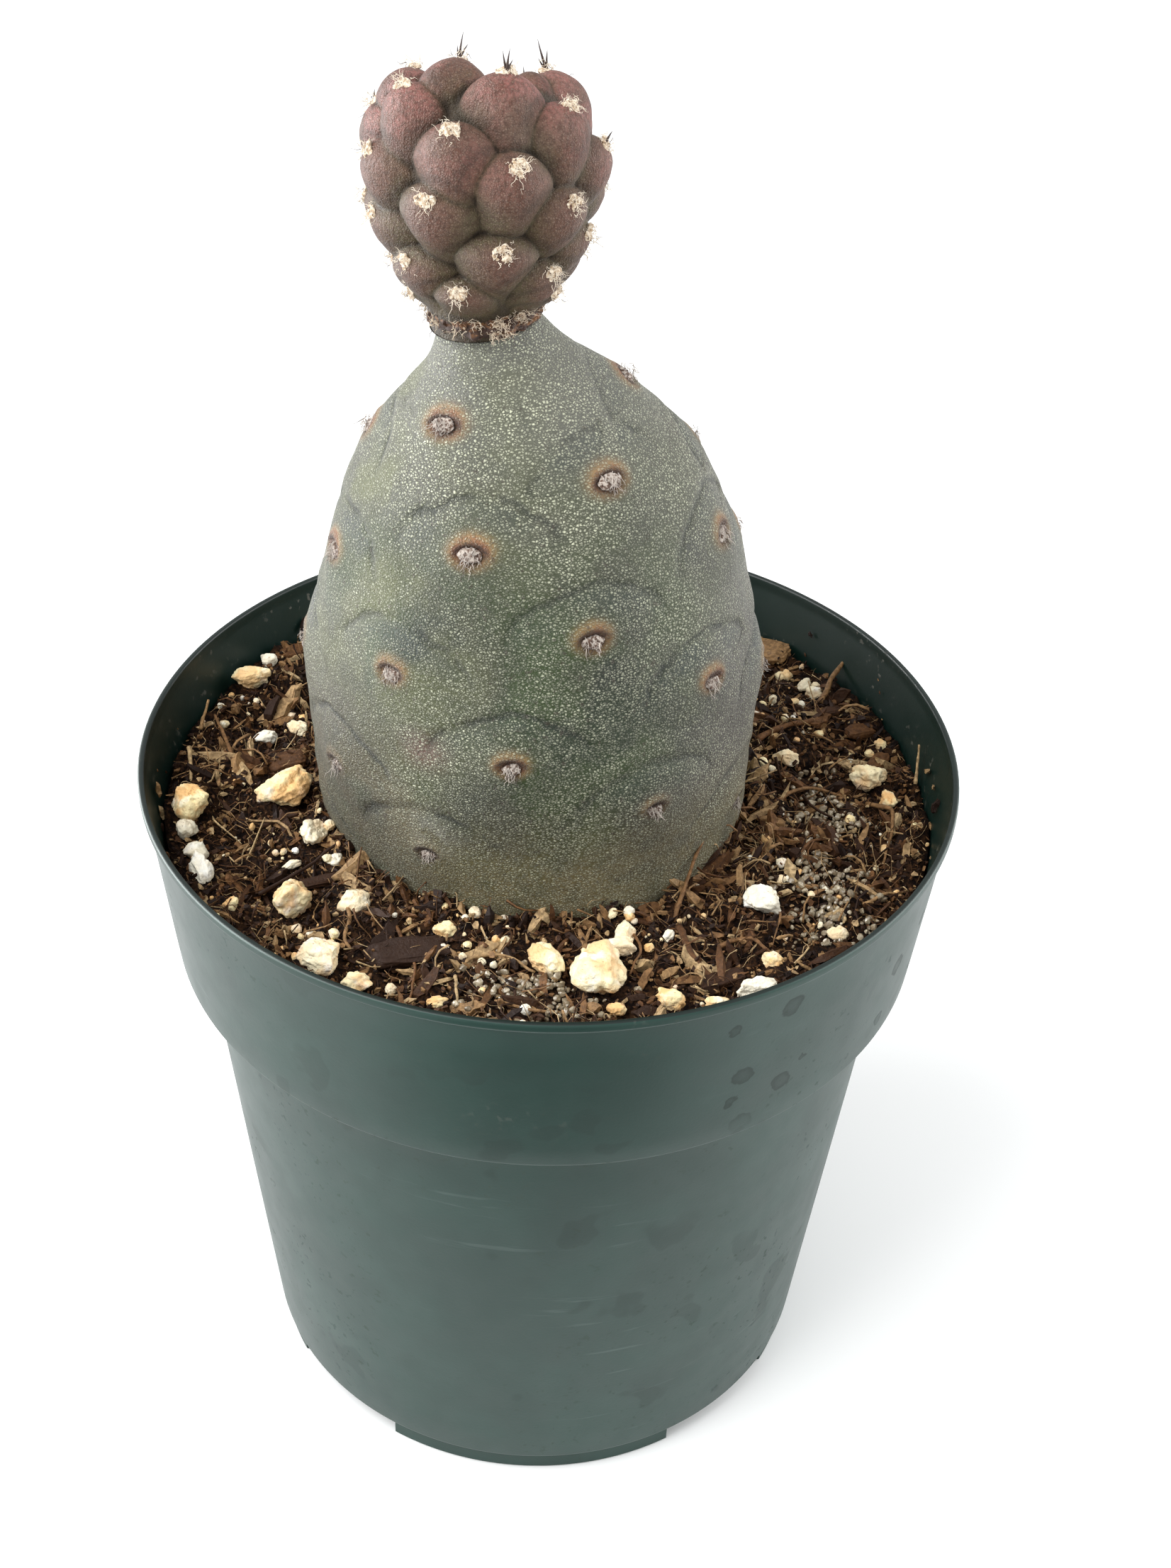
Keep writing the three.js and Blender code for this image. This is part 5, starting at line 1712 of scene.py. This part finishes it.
def make_ring():
    """The corky ring at the joint and the wool along it."""
    columns, rows = 260, 26
    ring_turn, ring_angle = np.repeat(around(rows), columns), np.tile(around(columns), rows)
    half_tall = COLLAR_HEIGHT / 2
    radius = COLLAR_RADIUS - COLLAR_HALF_WIDTH + COLLAR_HALF_WIDTH * np.cos(ring_turn)
    height = LOWER_LENGTH + half_tall + half_tall * np.sin(ring_turn)
    rough = lower_skin_point(radius, height, ring_angle)
    radius = radius + cloud(rough * [1, 1, 2.6], 1.3, 3) * 0.42 + cloud(rough, 0.5, 6) * 0.26
    height = height + cloud(rough, 0.9, 7) * 0.30
    points = lower_skin_point(radius, height, ring_angle)
    last = (rows - 1) * columns
    closing = [(last + j, last + (j + 1) % columns, (j + 1) % columns, j) for j in range(columns)]
    ring = new_piece("corky_ring", points, ring_faces(rows, columns, False) + closing)
    add_mark(ring, "crumbly", smooth(height, LOWER_LENGTH + 0.4, LOWER_LENGTH + 1.0))
    add_mark(ring, "room", np.full(len(points), 2.0 * MM))
    cork = cork_finish()
    settle(ring, cork)
    rng = np.random.default_rng(17)
    crusts = [splinter(rng, *size) for size in CRUSTS]
    strew("ring_crumbs", ring, strewn_tree(), cork, crusts, 260, "crumbly")
    spots = []
    for angle in np.radians(np.concatenate([rng.uniform(-115, 20, 17), rng.uniform(60, 230, 11)])):
        point = lower_skin_point(COLLAR_RADIUS - 0.1, LOWER_LENGTH + rng.uniform(0.8, 2.6), angle)
        outward = math.cos(angle) * lower_directions[0] + math.sin(angle) * lower_directions[1]
        side = np.cross(lower_directions[2], outward)
        spots.append((point, outward, side, rng.uniform(0.35, 1.0)))
    cream = wool_finish("ring_wool", (0.70, 0.58, 0.43), (0.36, 0.24, 0.15), (0.085, 0.036, 0.018), 0.2)
    wool_piece("ring_wool", wool_tree(), spots, cream, 30)


# Stage

def make_floor(settings):
    """A plain pale floor."""
    half = 4000.0
    floor = new_piece("floor", [(-half, -half, 0), (half, -half, 0), (half, half, 0), (-half, half, 0)],
                      [(0, 1, 2, 3)])
    floor.data.materials.append(
        plain_finish("pale_board", settings.floor, Roughness=0.6, Specular_IOR_Level=0.2))


def make_light(name, place, target, width, height, energy):
    """A soft rectangular light that looks at a target; sizes and places in metres."""
    light = bpy.data.lights.new(name, "AREA")
    light.shape = "RECTANGLE"
    light.size, light.size_y = width, height
    light.energy = energy
    holder = bpy.data.objects.new(name, light)
    holder.location = place
    holder.rotation_euler = (Vector(target) - Vector(place)).to_track_quat("-Z", "Y").to_euler()
    holder.visible_camera = False
    bpy.context.scene.collection.objects.link(holder)
    return holder


def make_flag():
    """A black card on the floor at the front, which shows only in gloss and gives the pot's dark middle."""
    corners = [(-75, -420, 2), (75, -420, 2), (75, -88, 2), (-75, -88, 2)]
    flag = new_piece("front_flag", corners, [(0, 1, 2, 3)])
    flag.data.materials.append(plain_finish("black_card", (0.01, 0.01, 0.01), Roughness=0.9))
    flag.visible_camera = False
    flag.visible_diffuse = False
    flag.visible_shadow = False


def make_camera():
    """The camera where the photograph was taken."""
    camera = bpy.data.cameras.new("camera")
    camera.sensor_width = SENSOR
    camera.lens = FOCAL_PIXELS / IMAGE_HEIGHT * SENSOR
    camera.clip_start = 0.01
    camera.clip_end = 20.0
    forward = Vector((math.sin(CAMERA_YAW) * math.cos(CAMERA_PITCH),
                      math.cos(CAMERA_YAW) * math.cos(CAMERA_PITCH), -math.sin(CAMERA_PITCH)))
    right = Vector((math.cos(CAMERA_YAW), -math.sin(CAMERA_YAW), 0))
    up = right.cross(forward)
    rolled_right = right * math.cos(CAMERA_ROLL) + up * math.sin(CAMERA_ROLL)
    rolled_up = up * math.cos(CAMERA_ROLL) - right * math.sin(CAMERA_ROLL)
    turn = Matrix((rolled_right, rolled_up, -forward)).transposed()
    holder = bpy.data.objects.new("camera", camera)
    holder.matrix_world = Matrix.Translation((0, -CAMERA_DISTANCE * MM, CAMERA_HEIGHT * MM)) @ turn.to_4x4()
    bpy.context.scene.collection.objects.link(holder)
    bpy.context.scene.camera = holder


def make_sky(strength):
    """Even white light from all sides."""
    world = bpy.data.worlds.new("sky")
    world.use_nodes = True
    background = world.node_tree.nodes["Background"]
    background.inputs["Color"].default_value = (1.0, 1.0, 1.0, 1.0)
    background.inputs["Strength"].default_value = strength
    bpy.context.scene.world = world


def make_stage(settings):
    """Floor, lights, camera and plain colours."""
    make_camera()
    make_floor(settings)
    make_sky(settings.sky)
    make_light("key_light", (-0.55, -0.25, 0.75), (0, 0, 0.10), 0.8, 0.8, settings.key)
    make_light("fill_light", (0.75, 0.15, 0.45), (0, 0, 0.09), 0.7, 0.7, settings.fill)
    for name, x, share in (("left_glow", -0.40, 1.5), ("right_glow", 0.40, 0.35)):
        glow = make_light(name, (x, 0.05, 0.16), (0, 0, 0.06), 0.50, 0.36, settings.glow * share)
        glow.visible_diffuse = False
    make_flag()
    bpy.context.scene.view_settings.view_transform = "Standard"


# Operators

class CACTUS_OT_stage(bpy.types.Operator):
    """Make the floor, the lights and the camera"""
    bl_idname = "cactus.stage"
    bl_label = "Stage"

    def execute(self, context):
        make_stage(context.scene.cactus_stage)
        return {"FINISHED"}


class CACTUS_OT_pot(bpy.types.Operator):
    """Make the moulded pot"""
    bl_idname = "cactus.pot"
    bl_label = "Pot"

    def execute(self, context):
        make_pot(context.scene.cactus_pot)
        return {"FINISHED"}


class CACTUS_OT_mix(bpy.types.Operator):
    """Make the bed of the potting mix, with the bark and fibre strewn on it"""
    bl_idname = "cactus.mix"
    bl_label = "Potting Mix"

    def execute(self, context):
        settings = context.scene.cactus_mix
        bed = make_bed(settings)
        make_slabs()
        make_strands()
        make_litter(bed, settings)
        return {"FINISHED"}


class CACTUS_OT_perlite(bpy.types.Operator):
    """Make the perlite lumps that stand out"""
    bl_idname = "cactus.perlite"
    bl_label = "Perlite Lumps"

    def execute(self, context):
        make_perlite()
        return {"FINISHED"}


class CACTUS_OT_lower(bpy.types.Operator):
    """Make the lower segment and the wool of its areoles"""
    bl_idname = "cactus.lower"
    bl_label = "Lower Segment"

    def execute(self, context):
        settings = context.scene.cactus_lower
        make_lower(settings)
        make_areole_wool(settings)
        return {"FINISHED"}


class CACTUS_OT_upper(bpy.types.Operator):
    """Make the upper segment and the corky ring below it"""
    bl_idname = "cactus.upper"
    bl_label = "Upper Segment"

    def execute(self, context):
        make_upper(context.scene.cactus_upper)
        make_ring()
        return {"FINISHED"}


class CACTUS_OT_tufts(bpy.types.Operator):
    """Make the wool tufts of the upper segment"""
    bl_idname = "cactus.tufts"
    bl_label = "Wool Tufts"

    def execute(self, context):
        make_tufts(context.scene.cactus_upper)
        return {"FINISHED"}


class CACTUS_OT_spines(bpy.types.Operator):
    """Make the dark spines of the crown"""
    bl_idname = "cactus.spines"
    bl_label = "Spines"

    def execute(self, context):
        make_spines(context.scene.cactus_upper)
        return {"FINISHED"}


OPERATORS = (
    CACTUS_OT_stage, CACTUS_OT_pot, CACTUS_OT_mix, CACTUS_OT_perlite, CACTUS_OT_lower, CACTUS_OT_upper,
    CACTUS_OT_tufts, CACTUS_OT_spines,
)
SETTINGS = {
    "cactus_stage": StageSettings, "cactus_pot": PotSettings, "cactus_mix": MixSettings,
    "cactus_lower": LowerSettings, "cactus_upper": UpperSettings,
}


class CACTUS_PT_sidebar(bpy.types.Panel):
    """The settings and the pieces in the order in which they are made"""
    bl_idname = "CACTUS_PT_sidebar"
    bl_label = "Potted Cactus"
    bl_space_type = "VIEW_3D"
    bl_region_type = "UI"
    bl_category = "Cactus"

    def draw(self, context):
        for name, group in SETTINGS.items():
            box = self.layout.box()
            box.label(text=group.__doc__)
            for key in group.__annotations__:
                box.prop(getattr(context.scene, name), key)
        column = self.layout.column(align=True)
        for operator in OPERATORS:
            column.operator(operator.bl_idname)


def register():
    for kind in (*SETTINGS.values(), *OPERATORS, CACTUS_PT_sidebar):
        bpy.utils.register_class(kind)
    for name, group in SETTINGS.items():
        setattr(bpy.types.Scene, name, PointerProperty(type=group))


def unregister():
    for name in SETTINGS:
        delattr(bpy.types.Scene, name)
    for kind in (CACTUS_PT_sidebar, *reversed(OPERATORS), *SETTINGS.values()):
        bpy.utils.unregister_class(kind)


def main():
    """Makes all the pieces."""
    register()
    bpy.ops.cactus.stage()
    bpy.ops.cactus.pot()
    bpy.ops.cactus.mix()
    bpy.ops.cactus.perlite()
    bpy.ops.cactus.lower()
    bpy.ops.cactus.upper()
    bpy.ops.cactus.tufts()
    bpy.ops.cactus.spines()


if __name__ == "__main__":
    main()
